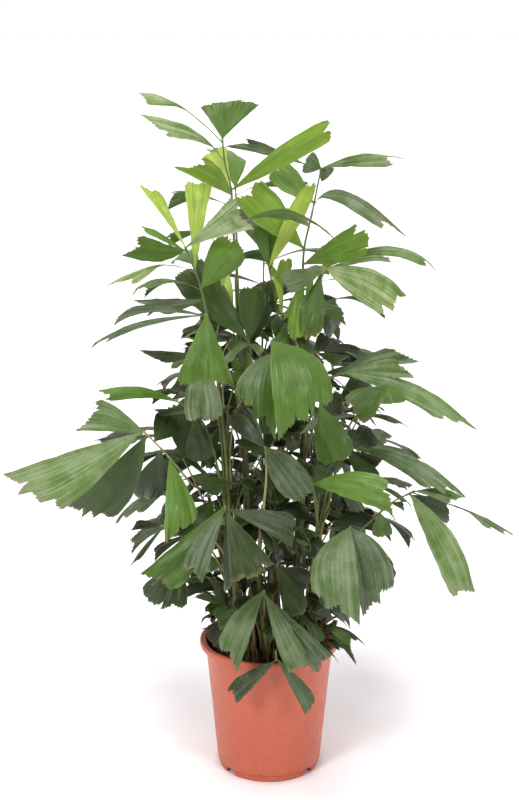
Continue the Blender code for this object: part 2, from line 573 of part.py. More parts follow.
SHIFTS = [0.0] + [s * k * 0.008 for k in range(1, 17) for s in (-1, 1)]
TRIES = [(0.0, 0.0, 1.0)]
TRIES += [(s * k * 0.008, 0.0, 1.0) for k in range(1, 14) for s in (-1, 1)]
TRIES += [(s * k * 0.012, r, 0.96) for k in range(0, 9) for s in (-1, 1) for r in (-16.0, 16.0)]
TRIES += [(s * k * 0.012, r, 0.80) for k in range(0, 9) for s in (-1, 1) for r in (-8.0, 8.0)]
TRIES += [(s * k * 0.015, 0.0, 0.62) for k in range(0, 9) for s in (-1, 1)]
BACK_TRIES = [(0.0, 1.0)] + [(s * k * 0.5, z) for z in (1.0, 0.85, 0.7, 0.55) for k in range(1, 8) for s in (1, -1)]


def soil_and_pot_room(room):
    steps = 32
    prof = pot_profile() + [(POT_FOOT_R - 0.003, 0.0), (POT_RIM_R - 0.0125, POT_HEIGHT - 0.006)]
    pts, faces, n = [], [], len(prof)
    for k in range(steps):
        a = 2 * math.pi * k / steps
        pts += [Vector((r * 1.012 * math.sin(a), -r * 1.012 * math.cos(a), z + (0.0012 if z > 0.1 else 0.0))) for r, z in prof]
    for k in range(steps):
        for i in range(n):
            a, b = k * n + i, k * n + (i + 1) % n
            c, d = ((k + 1) % steps) * n + i, ((k + 1) % steps) * n + (i + 1) % n
            faces += [(a, b, d), (a, d, c)]
    room.add("pot", pts, faces)
    ring = [Vector((0.108 * math.cos(2 * math.pi * k / 24), 0.108 * math.sin(2 * math.pi * k / 24), SOIL_TOP)) for k in range(24)]
    top = ring + [Vector((0, 0, SOIL_TOP))]
    room.add("soil", top, [(k, (k + 1) % 24, 24) for k in range(24)])


def rib_points(start, way, shift, lift):
    """Stalk through its way points, its middle moved aside by the shift.  A
    slanting foot is raised so that its low side stays clear."""
    pts = list(start) + list(way)
    full = spline(pts, 20)
    bump = np.sin(np.pi * np.linspace(0.0, 1.0, len(full)))
    full = full + bump[:, None] * np.array((lift, shift, 0.0))
    rise, lean = unit(pts[1] - pts[0]), unit(full[5] - full[0])
    full[0] += rise * (1.5 * RIB_FOOT * math.sqrt(max(0.0, 1.0 - float(rise @ lean) ** 2)))
    return full


def settle(room, name, paths, skip):
    """The first of the stalk's possible ways that has room."""
    best, kept = 10 ** 9, None
    for path in paths:
        pts, faces = tube(path[::5], lambda t: rib_radius(t) + 0.0010, 4)
        found = room.hits(name, pts, faces, stop=False, skip=skip)
        if found < best:
            best, kept = found, path
        if found == 0:
            break
    return kept, best


def grow():
    """Every stalk and leaflet of the plant, each with room beside the others."""
    room, fronds, report = Room(), [], []
    soil_and_pot_room(room)
    for cane in CANES:
        path = cane_path(cane)
        pts, faces = tube(path, lambda t, c=cane: cane_radius(c, t) + 0.0003, CANE_SIDES)
        hit = room.hits(cane, pts, faces, stop=False, skip=("soil",))
        if hit:
            report.append((cane, "cane", hit))
        room.add(cane, pts, faces)
    plans = []
    for name, cane, f, way, rows in FRONDS:
        way3 = [at(*p) for p in way]
        if cane == "soil":
            foot = np.array((f[0], f[1], SOIL_TOP + GAP))
            start = [foot, foot + np.array((0.0, 0.0, 0.012))]
        else:
            start = leave_cane(cane, f, way3[0])
        ways = [rib_points(start, way3, sh, li) for li in (0.0, 0.008, -0.008, 0.016, -0.016) for sh in SHIFTS[:21]]
        path, bad = settle(room, name, ways, ("soil",) if cane == "soil" else ())
        if bad:
            report.append((name, "stalk", bad))
        pts, faces = tube(path[::5], rib_radius, 4)
        room.add(name, pts, faces)
        plans.append([name, cane, path, [], rows])
    for plan in plans:
        name, cane, path, leaves, rows = plan
        order = 0
        for row in rows:
            for dy, droll, size in TRIES:
                leaf = front_leaf(path, row, order, dy, droll, size)
                pts, faces = plate(leaf, BLADE + 2 * CLEAR, path[::5])
                if not room.hits(name, pts, faces):
                    break
            else:
                report.append((name, "leaflet", row[1]))
                continue
            pts, faces = plate(leaf, BLADE, path[::5])
            room.add(name, pts, faces)
            leaves.append(leaf)
            order += 1 if row[0] is None else 0
            if abs(dy) > 0.05 or size < 1.0:
                report.append((name, "moved", row[1], round(dy, 3), droll, size))
        fronds.append((name, cane, path, leaves))
    for spec in BACK_FRONDS:
        name, cane, f, way, pitch0, pitch1, run, count = spec[:8]
        az = math.radians(way)
        flat = np.array((math.cos(az), math.sin(az), 0.0))
        start = leave_cane(cane, f, along(cane_path(cane), f)[0] + flat)
        way3, p = [], np.array(start[1])
        for k in range(4):
            pitch = math.radians(pitch0 + (pitch1 - pitch0) * (k + 0.5) / 4)
            p = p + (flat * math.cos(pitch) + UP * math.sin(pitch)) * (run / 4)
            way3.append(p)
        turns = []
        for li in (0.0, 0.012, -0.012, 0.024, -0.024):
            turns += [rib_points(start, way3, sh, li) for sh in SHIFTS[:13]]
        path, bad = settle(room, name, turns, ())
        if bad:
            report.append((name, "stalk", bad))
        pts, faces = tube(path[::5], rib_radius, 4)
        room.add(name, pts, faces)
        leaves = []
        for k in range(count):
            for swing, size in BACK_TRIES:
                leaf = back_leaf(path, spec, k, count, swing, size)
                pts, faces = plate(leaf, BLADE + 2 * CLEAR, path[::5])
                if not room.hits(name, pts, faces):
                    break
            else:
                report.append((name, "leaflet", k))
                continue
            pts, faces = plate(leaf, BLADE, path[::5])
            room.add(name, pts, faces)
            leaves.append(leaf)
        fronds.append((name, cane, path, leaves))
    return fronds, report


# ------------------------------------------------------------------ modelling
def material(name, colour, rough):
    mat = bpy.data.materials.new(name)
    mat.use_nodes = True
    shader = mat.node_tree.nodes["Principled BSDF"]
    shader.inputs["Base Color"].default_value = (*colour, 1.0)
    shader.inputs["Roughness"].default_value = rough
    shader.inputs["Metallic"].default_value = 0.0
    return mat


def curve_object(name, path, radii, coll, resolution):
    data = bpy.data.curves.new(name, "CURVE")
    data.dimensions = "3D"
    data.bevel_depth = 1.0
    data.bevel_resolution = resolution
    data.use_fill_caps = True
    line = data.splines.new("POLY")
    line.points.add(len(path) - 1)
    for pt, p, r in zip(line.points, path, radii):
        pt.co = (*p, 1.0)
        pt.radius = r
    obj = bpy.data.objects.new(name, data)
    coll.objects.link(obj)
    return obj


def curve_to_mesh(obj, coll):
    """The curve's own tube as a welded mesh object of the same name."""
    deps = bpy.context.evaluated_depsgraph_get()
    mesh = bpy.data.meshes.new_from_object(obj.evaluated_get(deps))
    bm = bmesh.new()
    bm.from_mesh(mesh)
    bmesh.ops.remove_doubles(bm, verts=bm.verts, dist=0.00002)
    bmesh.ops.recalc_face_normals(bm, faces=bm.faces)
    bm.to_mesh(mesh)
    bm.free()
    name = obj.name
    matrix = obj.matrix_world.copy()
    old = obj.data
    bpy.data.objects.remove(obj)
    bpy.data.curves.remove(old)
    new = bpy.data.objects.new(name, mesh)
    new.matrix_world = matrix
    coll.objects.link(new)
    return new


def blade_object(name, leaf, line, sink, coll):
    """A leaflet: a small grid bent to its surface, made solid."""
    rows, cols = grid_size(leaf)
    grid = blade_grid(leaf, line, sink)
    bm = bmesh.new()
    bmesh.ops.create_grid(bm, x_segments=rows, y_segments=cols, size=1.0)
    for vert in bm.verts:
        i, j = round((vert.co.x + 1.0) / 2.0 * rows), round((vert.co.y + 1.0) / 2.0 * cols)
        vert.co = Vector(grid[i][j])
    mesh = bpy.data.meshes.new(name)
    bm.to_mesh(mesh)
    bm.free()
    obj = bpy.data.objects.new(name, mesh)
    coll.objects.link(obj)
    solid = obj.modifiers.new("thickness", "SOLIDIFY")
    solid.thickness = BLADE
    solid.offset = 0.0
    tri = obj.modifiers.new("faces", "TRIANGULATE")
    tri.quad_method = "FIXED"
    return obj


def bake(obj, name, coll):
    """The object with its modifiers worked in, under a name."""
    deps = bpy.context.evaluated_depsgraph_get()
    mesh = bpy.data.meshes.new_from_object(obj.evaluated_get(deps))
    new = bpy.data.objects.new(name, mesh)
    coll.objects.link(new)
    return new


def shells(bm):
    """The number of separate closed bodies, or 0 if any edge is open."""
    if any(len(edge.link_faces) != 2 for edge in bm.edges):
        return 0
    left, count = set(bm.verts), 0
    while left:
        count += 1
        stack = [left.pop()]
        while stack:
            for edge in stack.pop().link_edges:
                for vert in edge.verts:
                    if vert in left:
                        left.remove(vert)
                        stack.append(vert)
    return count


def frond_object(name, path, leaves, coll, scratch, mat):
    """Stalk and leaflets united into one solid.  The leaflets' feet sink a
    little further into the stalk until the union is one closed body."""
    line = path[::5]
    n = len(line) - 1
    big = [leaf for leaf in leaves if leaf.width * leaf.length > WISP]
    least = 0.8 * sum(BLADE * leaf.width * leaf.length * 0.45 for leaf in big)
    for sink in (0.0, 0.0003, 0.0006, 0.0010, -0.0003, 0.0014, 0.0018, 0.0022):
        rib = curve_to_mesh(curve_object("rib", line, [rib_radius(i / n) for i in range(n + 1)], scratch, 0), scratch)
        group = bpy.data.collections.new("blades")
        bpy.context.scene.collection.children.link(group)
        for k, leaf in enumerate(big):
            blade_object("blade_%d" % k, leaf, line, sink, group)
        for blade in group.objects:
            join = rib.modifiers.new(blade.name, "BOOLEAN")
            join.operation = "UNION"
            join.solver = "EXACT"
            join.object = blade
        obj = bake(rib, name, coll)
        for piece in list(group.objects) + [rib]:
            bpy.data.objects.remove(piece)
        bpy.data.collections.remove(group)
        bm = bmesh.new()
        bm.from_mesh(obj.data)
        bmesh.ops.remove_doubles(bm, verts=bm.verts, dist=0.00002)
        bmesh.ops.dissolve_limit(bm, angle_limit=0.003, verts=bm.verts, edges=bm.edges)
        bmesh.ops.triangulate(bm, faces=bm.faces, quad_method="BEAUTY", ngon_method="BEAUTY")
        whole = shells(bm) if bm.calc_volume() > least else 0
        bm.to_mesh(obj.data)
        bm.free()
        if whole == 1:
            break
        if sink != 0.0022:
            bpy.data.objects.remove(obj)
    obj.data.materials.clear()
    obj.data.materials.append(mat)
    return obj


def screw_object(name, profile, coll, steps):
    mesh = bpy.data.meshes.new(name)
    mesh.from_pydata([(r, 0.0, z) for r, z in profile], [(i, i + 1) for i in range(len(profile) - 1)], [])
    obj = bpy.data.objects.new(name, mesh)
    coll.objects.link(obj)
    turn = obj.modifiers.new("turn", "SCREW")
    turn.axis = "Z"
    turn.steps = steps
    turn.render_steps = steps
    turn.use_merge_vertices = True
    turn.merge_threshold = 0.00005
    return obj


def make_pot(coll, cutters, mat):
    """Turned pot with a rolled lip, a raised floor, a flat boss under its
    middle and drain notches in the foot ring."""
    out = pot_profile()
    inner = [(POT_FOOT_R - 0.0034, 0.0), (POT_FOOT_R - 0.0034, POT_FLOOR_Z), (0.0160, POT_FLOOR_Z),
             (0.0150, 0.0), (0.0, 0.0)]
    top = [(0.0, POT_FLOOR_Z + POT_WALL), (0.0896 - POT_WALL, POT_FLOOR_Z + POT_WALL),
           (0.0994 - POT_WALL, 0.092), (0.1092 - POT_WALL, POT_HEIGHT - POT_LIP - 0.0030)]
    profile = out + inner + top
    profile = profile + [profile[0]]
    obj = screw_object("pot", profile, coll, POT_STEPS)
    for k, ang in enumerate(NOTCH_ANGLES):
        a = math.radians(ang)
        bpy.ops.mesh.primitive_cube_add(size=1.0)
        box = bpy.context.object
        box.name = "notch_cutter_%d" % k
        box.scale = (NOTCH_WIDE, 0.012, NOTCH_HIGH * 2)
        box.rotation_euler = (0.0, 0.0, a)
        box.location = (0.0875 * math.sin(a), -0.0875 * math.cos(a), 0.0)
        for c in list(box.users_collection):
            c.objects.unlink(box)
        cutters.objects.link(box)
        box.hide_render = True
        box.display_type = "WIRE"
        cut = obj.modifiers.new("notch_%d" % k, "BOOLEAN")
        cut.operation = "DIFFERENCE"
        cut.solver = "EXACT"
        cut.object = box
    obj.data.materials.append(mat)
    return obj


def make_soil(coll, mat):
    """The block of peat that fills the pot to under its lip."""
    g = GAP * 1.6
    low = POT_FLOOR_Z + POT_WALL + GAP
    wall = lambda z: 0.0896 + (0.0994 - 0.0896) * (z - 0.0116) / (0.092 - 0.0116) if z < 0.092 else \
        0.0994 + (0.1092 - 0.0994) * (z - 0.092) / (POT_HEIGHT - POT_LIP - 0.0030 - 0.092)
    prof = [(0.0, SOIL_TOP)] + [(wall(z) - POT_WALL - g, z) for z in (SOIL_TOP, 0.092, low)] + [(0.0, low)]
    obj = screw_object("soil", prof, coll, POT_STEPS)
    obj.data.materials.append(mat)
    return obj


def make_cane(name, coll, scratch, mat):
    obj = curve_object(name, cane_rings(name), [cane_radius(name, t) for t in CANE_RINGS], scratch, 1)
    obj = curve_to_mesh(obj, coll)
    obj.data.materials.append(mat)
    return obj


def build():
    for obj in list(bpy.data.objects):
        bpy.data.objects.remove(obj)
    scene = bpy.context.scene
    parts = bpy.data.collections.new("potted_fishtail_palm")
    cutters = bpy.data.collections.new("cutters")
    scratch = bpy.data.collections.new("scratch")
    for c in (parts, cutters, scratch):
        scene.collection.children.link(c)

    make_pot(parts, cutters, material("terracotta_plastic", (0.62, 0.16, 0.09), 0.42))
    make_soil(parts, material("peat", (0.035, 0.024, 0.018), 0.95))
    cane_mat = material("cane_green", (0.13, 0.17, 0.05), 0.6)
    for name in CANES:
        make_cane(name, parts, scratch, cane_mat)
    fronds, report = grow()
    for name, cane, path, leaves in fronds:
        tint = sum(leaf.tint for leaf in leaves) / max(1, len(leaves)) / 3.0
        colour = (0.06 + 0.28 * tint, 0.15 + 0.32 * tint, 0.035 + 0.03 * tint)
        frond_object("frond_" + name, path, leaves, parts, scratch, material("leaf_" + name, colour, 0.45))
    bpy.data.collections.remove(scratch)
    return fronds, report


FRONDS_GROWN, GROW_REPORT = build()
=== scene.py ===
# The looks of the potted fishtail palm: every frond as a stalk with ragged,
# pleated leaflets, the fibrous canes, the peat and the moulded pot.  Metres,
# +Z up, front of the plant to -Y, origin under the middle of the pot.
import json
import math

import bmesh
import bpy
import numpy as np
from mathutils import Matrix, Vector
from mathutils.bvhtree import BVHTree

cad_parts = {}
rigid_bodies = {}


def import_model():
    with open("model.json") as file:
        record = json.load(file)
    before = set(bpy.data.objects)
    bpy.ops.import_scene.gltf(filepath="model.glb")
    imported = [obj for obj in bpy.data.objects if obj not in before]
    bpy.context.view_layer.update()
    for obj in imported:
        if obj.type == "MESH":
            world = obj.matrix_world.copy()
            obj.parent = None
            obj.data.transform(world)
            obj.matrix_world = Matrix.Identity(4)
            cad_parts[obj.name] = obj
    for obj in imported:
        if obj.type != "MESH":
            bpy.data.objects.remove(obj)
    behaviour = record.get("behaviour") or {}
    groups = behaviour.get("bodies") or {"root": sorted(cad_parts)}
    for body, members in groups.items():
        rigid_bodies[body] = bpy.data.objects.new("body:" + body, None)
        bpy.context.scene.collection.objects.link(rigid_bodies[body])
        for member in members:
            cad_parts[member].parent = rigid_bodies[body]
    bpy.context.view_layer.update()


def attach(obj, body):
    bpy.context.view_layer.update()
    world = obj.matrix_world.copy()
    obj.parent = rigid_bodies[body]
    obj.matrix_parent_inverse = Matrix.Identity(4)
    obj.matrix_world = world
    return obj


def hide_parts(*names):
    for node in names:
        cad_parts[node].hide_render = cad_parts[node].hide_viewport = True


for spare in list(bpy.data.objects):            # an empty scene to start from
    bpy.data.objects.remove(spare)
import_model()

# ------------------------------------------------------------------ sizes
GAP = 0.0003            # clearance between pieces that touch
POT_HEIGHT = 0.2297
POT_RIM_R = 0.1195      # outside of the rolled lip
POT_LIP = 0.0105        # height of the lip
POT_FOOT_R = 0.0868
POT_WALL = 0.0026
POT_FLOOR_Z = 0.009     # underside of the raised floor
POT_STEPS = 24
SOIL_TOP = 0.205
NOTCH_ANGLES = (51, 99, 147, -51, -99, -147)     # drain notches, from the front
NOTCH_WIDE, NOTCH_HIGH = 0.015, 0.007

BLADE = 0.0016          # thickness of a leaflet's blade
RIB_FOOT, RIB_TIP = 0.0028, 0.0013               # radius of a frond's stalk
CANE_SIDES = 8
CANE_RINGS = (0.0, 0.06, 0.36, 0.68, 1.0)        # fractions of the cane's length
CLEAR = 0.0011          # least room kept between blades of different fronds
HUB_STEP = 0.0042       # between the leaflets of one hub
WISP, SMALL = 0.0018, 0.0036                     # length by width of a leaflet too slight to model, and of a plain one

# The front elevation: the plant as seen from EYE_BACK in front of the pot's
# axis and EYE_UP above the floor, looking EYE_DIP down.  Its units run right
# (u) and down (v), and one unit is about 1.65 mm on the plant.
EYE_BACK, EYE_UP, EYE_DIP, FOCAL = 2.54, 1.284, math.radians(14), 1578.0
AXIS_U, AXIS_V = 268.6, 400.0
SIN_DIP, COS_DIP = math.sin(EYE_DIP), math.cos(EYE_DIP)
EYE = np.array((0.0, -EYE_BACK, EYE_UP))
UP = np.array((0.0, 0.0, 1.0))


def at(u, v, y):
    """The point at (u, v) of the front elevation and at depth y."""
    a, b = (u - AXIS_U) / FOCAL, (AXIS_V - v) / FOCAL
    k = (y + EYE_BACK) / (COS_DIP + b * SIN_DIP)
    return np.array((a * k, y, EYE_UP + (-SIN_DIP + b * COS_DIP) * k))


def seen(p):
    """Where a point shows in the front elevation."""
    x, y, z = p
    up = (y + EYE_BACK) * SIN_DIP + (z - EYE_UP) * COS_DIP
    deep = (y + EYE_BACK) * COS_DIP + (EYE_UP - z) * SIN_DIP
    return AXIS_U + FOCAL * x / deep, AXIS_V - FOCAL * up / deep


def unit(v):
    return v / max(float(np.linalg.norm(v)), 1e-9)


# ------------------------------------------------------------------ canes
# name: foot (x, y) in the soil, way up in the elevation (u, v, y), radii
CANES = {
    "cane_left": ((-0.045, -0.030), [(232, 570, -0.035), (226, 480, -0.030), (221, 400, -0.020), (214, 342, -0.010)], 0.0066, 0.0034),
    "cane_tall": ((-0.014, 0.014), [(249, 540, 0.020), (243, 440, 0.022), (240, 350, 0.024), (236, 278, 0.018)], 0.0074, 0.0034),
    "cane_middle": ((0.016, -0.012), [(273, 560, 0.000), (280, 460, 0.010), (281, 380, 0.018), (277, 322, 0.018)], 0.0070, 0.0034),
    "cane_right": ((0.043, 0.018), [(296, 560, 0.022), (301, 470, 0.030), (304, 390, 0.030), (303, 322, 0.022)], 0.0072, 0.0034),
    "cane_far_right": ((0.063, -0.016), [(309, 580, -0.012), (321, 510, 0.000), (332, 462, 0.010)], 0.0064, 0.0036),
    "cane_front": ((-0.006, -0.056), [(262, 615, -0.066), (258, 560, -0.080), (262, 505, -0.090)], 0.0064, 0.0036),
    "cane_far_left": ((-0.068, 0.008), [(235, 600, 0.000), (221, 545, -0.010), (208, 497, -0.024)], 0.0062, 0.0036),
    "cane_back": ((0.010, 0.062), [(274, 560, 0.068), (267, 470, 0.080), (262, 400, 0.088)], 0.0068, 0.0036),
    "cane_back_right": ((0.056, 0.052), [(302, 540, 0.066), (314, 455, 0.092)], 0.0064, 0.0036),
    "cane_back_left": ((-0.048, 0.054), [(242, 540, 0.068), (226, 452, 0.092)], 0.0064, 0.0036),
}

# ------------------------------------------------------------------ fronds
# Each front frond: the cane it leaves and how far up, its stalk in the
# elevation (u, v, y), and its leaflets.  A leaflet is its seat on the stalk
# (None for the stalk's end), its tip (u, v, y), its width in units, the roll of
# its blade off facing the front, its outline, and its age tint (0 old and
# dark, 3 new and yellow-green).  Outlines: F a fan; A, B, L, R a wedge whose
# short side lies above, below, left or right; FA, FB, FL, FR a fan a little
# shorter on that side.  Further letters: n widens evenly, w or W has wide
# shoulders, s short side much shorter, e end nearly square, k or K stalked,
# a, h or H arched, b bowed in its own plane, u underside to the front.
FRONDS = [
    ("crown", "cane_tall", 1.0, [(233, 240, 0.010), (230, 190, 0.000), (224, 165, -0.004), (221, 139, 0.000)], [
        (None, (225, 101, 0.030), 61, 0, "FLne", 1.0),
        (None, (134, 89, 0.030), 18, 24, "BKh", 1.0),
        ((223, 160), (143, 116, -0.100), 17, 10, "Bkb", 1.3),
        ((230, 190), (325, 128, -0.140), 22, 8, "Fe", 1.8),
        ((230, 188), (212, 148, 0.040), 26, 5, "Fne", 2.8),
        ((229, 196), (181, 171, -0.110), 21, 8, "Aw", 1.4),
        ((235, 236), (334, 231, -0.140), 20, 60, "Bh", 0.8)]),
    ("upper_left", "cane_left", 1.0, [(207, 318, -0.020), (199, 285, -0.030), (190, 262, -0.040), (184, 247, -0.046)], [
        (None, (149, 186, 0.020), 15, 8, "FRne", 2.7),
        (None, (126, 256, -0.130), 25, 0, "Ab", 0.7),
        ((186, 246), (243, 211, -0.150), 37, 12, "Fneu", 0.9),
        (None, (137, 220, 0.060), 8, 30, "B", 2.0),
        ((194, 270), (197, 178, 0.050), 29, 0, "Fne", 2.9),
        ((196, 272), (104, 284, -0.130), 16, 34, "BKh", 2.1),
        ((201, 290), (130, 290, -0.010), 7, 50, "Bkh", 0.2),
        ((203, 300), (133, 300, -0.060), 19, 8, "Bs", 0.7),
        ((202, 288), (233, 242, -0.075), 36, 5, "F", 1.2)]),
    ("left_fan", "cane_left", 0.86, [(212, 334, -0.080), (204, 314, -0.140)], [
        (None, (204, 383, -0.205), 59, 0, "Fnea", 1.7),
        (None, (88, 342, -0.170), 9, 50, "Bae", 0.4),
        (None, (107, 319, -0.070), 9, 40, "Aa", 0.3)]),
    ("upper_right", "cane_right", 1.0, [(302, 290, 0.020), (303, 250, 0.012), (311, 213, 0.004), (320, 168, 0.000)], [
        ((321, 162), (304, 161, -0.020), 22, 0, "F", 0.8),
        ((320, 160), (328, 176, -0.014), 17, 0, "F", 0.6),
        ((321, 162), (398, 152, -0.110), 15, 36, "Bae", 0.9),
        ((319, 166), (226, 145, 0.080), 12, 10, "Aku", 1.5),
        ((312, 203), (275, 168, 0.024), 26, 10, "Feu", 1.3),
        ((311, 213), (403, 232, -0.140), 16, 36, "BHe", 1.0),
        ((303, 249), (246, 190, -0.020), 36, 8, "Fe", 2.0),
        ((302, 264), (359, 240, -0.150), 40, 0, "Fn", 1.2)]),
    ("right_hub", "cane_right", 0.92, [(312, 292, -0.020), (323, 267, -0.060)], [
        (None, (410, 297, -0.180), 36, 8, "Bbwu", 0.9),
        (None, (437, 269, -0.060), 13, 32, "BHe", 0.6),
        (None, (396, 257, 0.030), 8, 20, "A", 0.3),
        (None, (282, 284, -0.100), 22, 8, "F", 1.0),
        (None, (306, 337, -0.100), 26, 8, "F", 0.3),
        (None, (337, 246, -0.070), 13, 0, "F", 1.6)]),
    ("spear", "cane_middle", 1.0, [(272, 290, 0.014), (268, 266, 0.006)], [
        (None, (312, 180, -0.030), 16, 10, "Fw", 2.6),
        (None, (256, 223, 0.000), 13, 10, "F", 1.2),
        (None, (274, 222, 0.020), 15, 10, "F", 1.4),
        ((275, 300), (286, 258, 0.000), 13, 10, "F", 2.2)]),
    ("dark_centre", "cane_tall", 0.70, [(250, 355, -0.010), (247, 340, -0.020)], [
        (None, (182, 266, -0.010), 40, 0, "Fe", 0.2),
        (None, (252, 285, -0.024), 27, 0, "F", 0.0),
        ((250, 348), (270, 276, 0.040), 26, 0, "F", 0.2)]),
    ("middle_fans", "cane_middle", 0.72, [(281, 380, -0.090), (278, 352, -0.180), (269, 341, -0.220)], [
        (None, (277, 438, -0.310), 58, 0, "RWh", 1.8),
        ((277, 351), (274, 436, -0.262), 43, 0, "LWsa", 1.3)]),
    ("middle_grey", "cane_front", 0.97, [(265, 476, -0.140), (264, 447, -0.180)], [
        (None, (304, 497, -0.240), 33, 5, "Fwa", 0.8),
        (None, (232, 409, -0.120), 26, 12, "F", 0.1)]),
    ("far_left", "cane_far_left", 1.0, [(192, 485, -0.060), (167, 456, -0.090), (142, 431, -0.110)], [
        (None, (1, 476, -0.150), 54, 0, "B", 1.6),
        (None, (79, 429, -0.060), 33, 8, "Aau", 0.7),
        (None, (62, 513, -0.020), 40, 0, "Bw", 0.2),
        ((168, 457), (164, 542, -0.170), 34, 0, "R", 2.0),
        ((160, 450), (145, 504, -0.020), 38, 0, "F", 0.1),
        ((152, 442), (172, 416, -0.040), 30, 0, "F", 0.1),
        (None, (90, 438, -0.010), 7, 40, "B", 0.3)]),
    ("left_low_fan", "cane_left", 0.52, [(205, 428, -0.060), (178, 402, -0.090)], [
        (None, (99, 390, -0.130), 13, 10, "Bbe", 1.6),
        ((190, 414), (150, 408, -0.050), 7, 20, "B", 0.2),
        ((192, 416), (200, 462, -0.080), 26, 0, "F", 0.2)]),
    ("left_inner", "cane_left", 0.76, [(210, 368, -0.040), (196, 354, -0.070)], [
        (None, (138, 350, -0.090), 14, 10, "Bs", 0.3),
        (None, (203, 423, -0.110), 38, 5, "Feu", 0.8),
        (None, (168, 391, -0.060), 20, 5, "R", 0.5)]),
    ("left_dark", "cane_far_left", 0.84, [(198, 490, -0.010), (182, 458, -0.020)], [
        (None, (184, 404, -0.030), 36, 0, "F", 0.2),
        ((190, 476), (232, 480, -0.060), 20, 20, "B", 0.8)]),
    ("front_left", "cane_left", 0.18, [(229, 545, -0.150), (223, 506, -0.240)], [
        (None, (139, 575, -0.280), 35, 0, "Be", 0.9),
        (None, (201, 582, -0.305), 24, 5, "Le", 0.7),
        (None, (292, 549, -0.300), 28, 8, "Ahu", 0.6),
        (None, (253, 575, -0.285), 50, 5, "Fne", 0.5),
        (None, (223, 596, -0.210), 26, 5, "R", 0.2)]),
    ("low_left", "cane_far_left", 0.30, [(214, 560, -0.050), (195, 550, -0.090), (177, 563, -0.110)], [
        (None, (146, 602, -0.130), 25, 0, "F", 0.2),
        (None, (160, 609, -0.150), 23, 0, "R", 0.1),
        ((200, 549), (210, 573, -0.110), 20, 0, "F", 0.5)]),
    ("left_wisps", "cane_far_left", 0.50, [(193, 528, -0.030), (160, 526, -0.050)], [
        (None, (130, 530, -0.060), 9, 20, "A", 0.2),
        (None, (128, 566, -0.080), 5, 20, "Ba", 0.4)]),
    ("front_low", "cane_front", 0.26, [(263, 612, -0.110), (263, 590, -0.140)], [
        (None, (236, 673, -0.180), 27, 0, "Lw", 1.0),
        (None, (300, 672, -0.180), 23, 0, "Fe", 1.1),
        (None, (325, 666, -0.160), 25, 5, "Fne", 1.0)]),
    ("front_dark", "cane_middle", 0.15, [(278, 592, -0.080), (276, 565, -0.110)], [
        (None, (300, 616, -0.130), 24, 0, "F", 0.6),
        (None, (307, 588, -0.100), 30, 0, "F", 0.1)]),
    ("rim_pair", "soil", (0.004, -0.082), [(275, 650, -0.112), (275, 661, -0.130)], [
        (None, (236, 704, -0.150), 18, 0, "Ae", 0.7),
        (None, (306, 716, -0.150), 16, 0, "Re", 0.9)]),
    ("right_fans", "cane_far_right", 0.30, [(326, 560, -0.090), (341, 538, -0.185), (349, 527, -0.225)], [
        (None, (359, 624, -0.305), 45, 0, "LWh", 1.3),
        (None, (362, 616, -0.280), 36, 0, "RWa", 1.1),
        (None, (396, 580, -0.160), 7, 30, "Ra", 0.4)]),
    ("right_bright", "cane_far_right", 0.60, [(316, 520, -0.090), (311, 484, -0.190)], [
        (None, (389, 511, -0.260), 30, 5, "Aew", 2.0),
        (None, (330, 462, -0.120), 18, 10, "F", 0.2)]),
    ("far_right", "cane_far_right", 0.30, [(336, 552, -0.040), (371, 520, -0.070), (392, 502, -0.080), (414, 491, -0.090)], [
        (None, (463, 496, -0.100), 14, 10, "Bb", 0.9),
        (None, (519, 531, -0.060), 14, 22, "BK", 0.9),
        (None, (475, 592, -0.140), 28, 0, "Lbew", 1.3),
        (None, (450, 526, -0.040), 21, 0, "A", 0.4),
        ((378, 512), (382, 537, -0.100), 20, 0, "F", 0.9),
        ((390, 504), (405, 511, -0.060), 7, 20, "A", 0.2)]),
    ("right_grey", "cane_far_right", 0.84, [(339, 458, -0.020), (352, 447, -0.040)], [
        (None, (465, 494, -0.130), 23, 12, "Bb", 0.7),
        (None, (430, 464, 0.030), 6, 25, "Bb", 0.4),
        (None, (374, 430, 0.000), 26, 0, "F", 0.0),
        (None, (384, 458, -0.020), 17, 10, "B", 0.1),
        (None, (376, 484, -0.060), 20, 0, "F", 0.5)]),
    ("right_middle", "cane_far_right", 0.76, [(344, 435, -0.030), (358, 412, -0.040), (386, 384, -0.070)], [
        (None, (392, 404, -0.090), 28, 0, "FL", 1.4),
        (None, (352, 412, -0.100), 34, 0, "Fe", 0.9),
        ((356, 414), (408, 425, -0.080), 6, 30, "Bb", 0.2),
        ((354, 416), (303, 431, -0.120), 15, 25, "Aa", 0.2)]),
    ("right_inner", "cane_right", 0.55, [(313, 425, -0.060), (319, 404, -0.110)], [
        (None, (338, 463, -0.140), 38, 0, "F", 1.0),
        (None, (343, 403, -0.080), 24, 0, "F", 0.2)]),
    ("right_spread", "cane_right", 0.72, [(318, 388, 0.000), (330, 378, -0.010), (343, 372, -0.020)], [
        (None, (475, 425, -0.110), 19, 8, "Bbw", 1.3),
        (None, (478, 421, 0.030), 8, 24, "Ba", 0.6),
        (None, (415, 378, -0.070), 19, 8, "Au", 0.7),
        (None, (416, 361, 0.010), 17, 12, "Awu", 0.7),
        ((330, 378), (393, 350, 0.040), 8, 25, "A", 0.2)]),
    ("right_dark", "cane_right", 0.80, [(311, 358, 0.000), (320, 350, -0.010)], [
        (None, (366, 348, 0.020), 9, 20, "Bb", 0.0),
        (None, (341, 341, 0.050), 16, 10, "F", 0.4),
        (None, (348, 356, -0.030), 12, 10, "B", 0.5),
        (None, (325, 335, -0.020), 14, 10, "F", 0.0)]),
    ("centre_bright", "cane_middle", 0.88, [(291, 306, -0.030), (301, 280, -0.060)], [
        (None, (281, 320, -0.080), 15, 10, "R", 2.0),
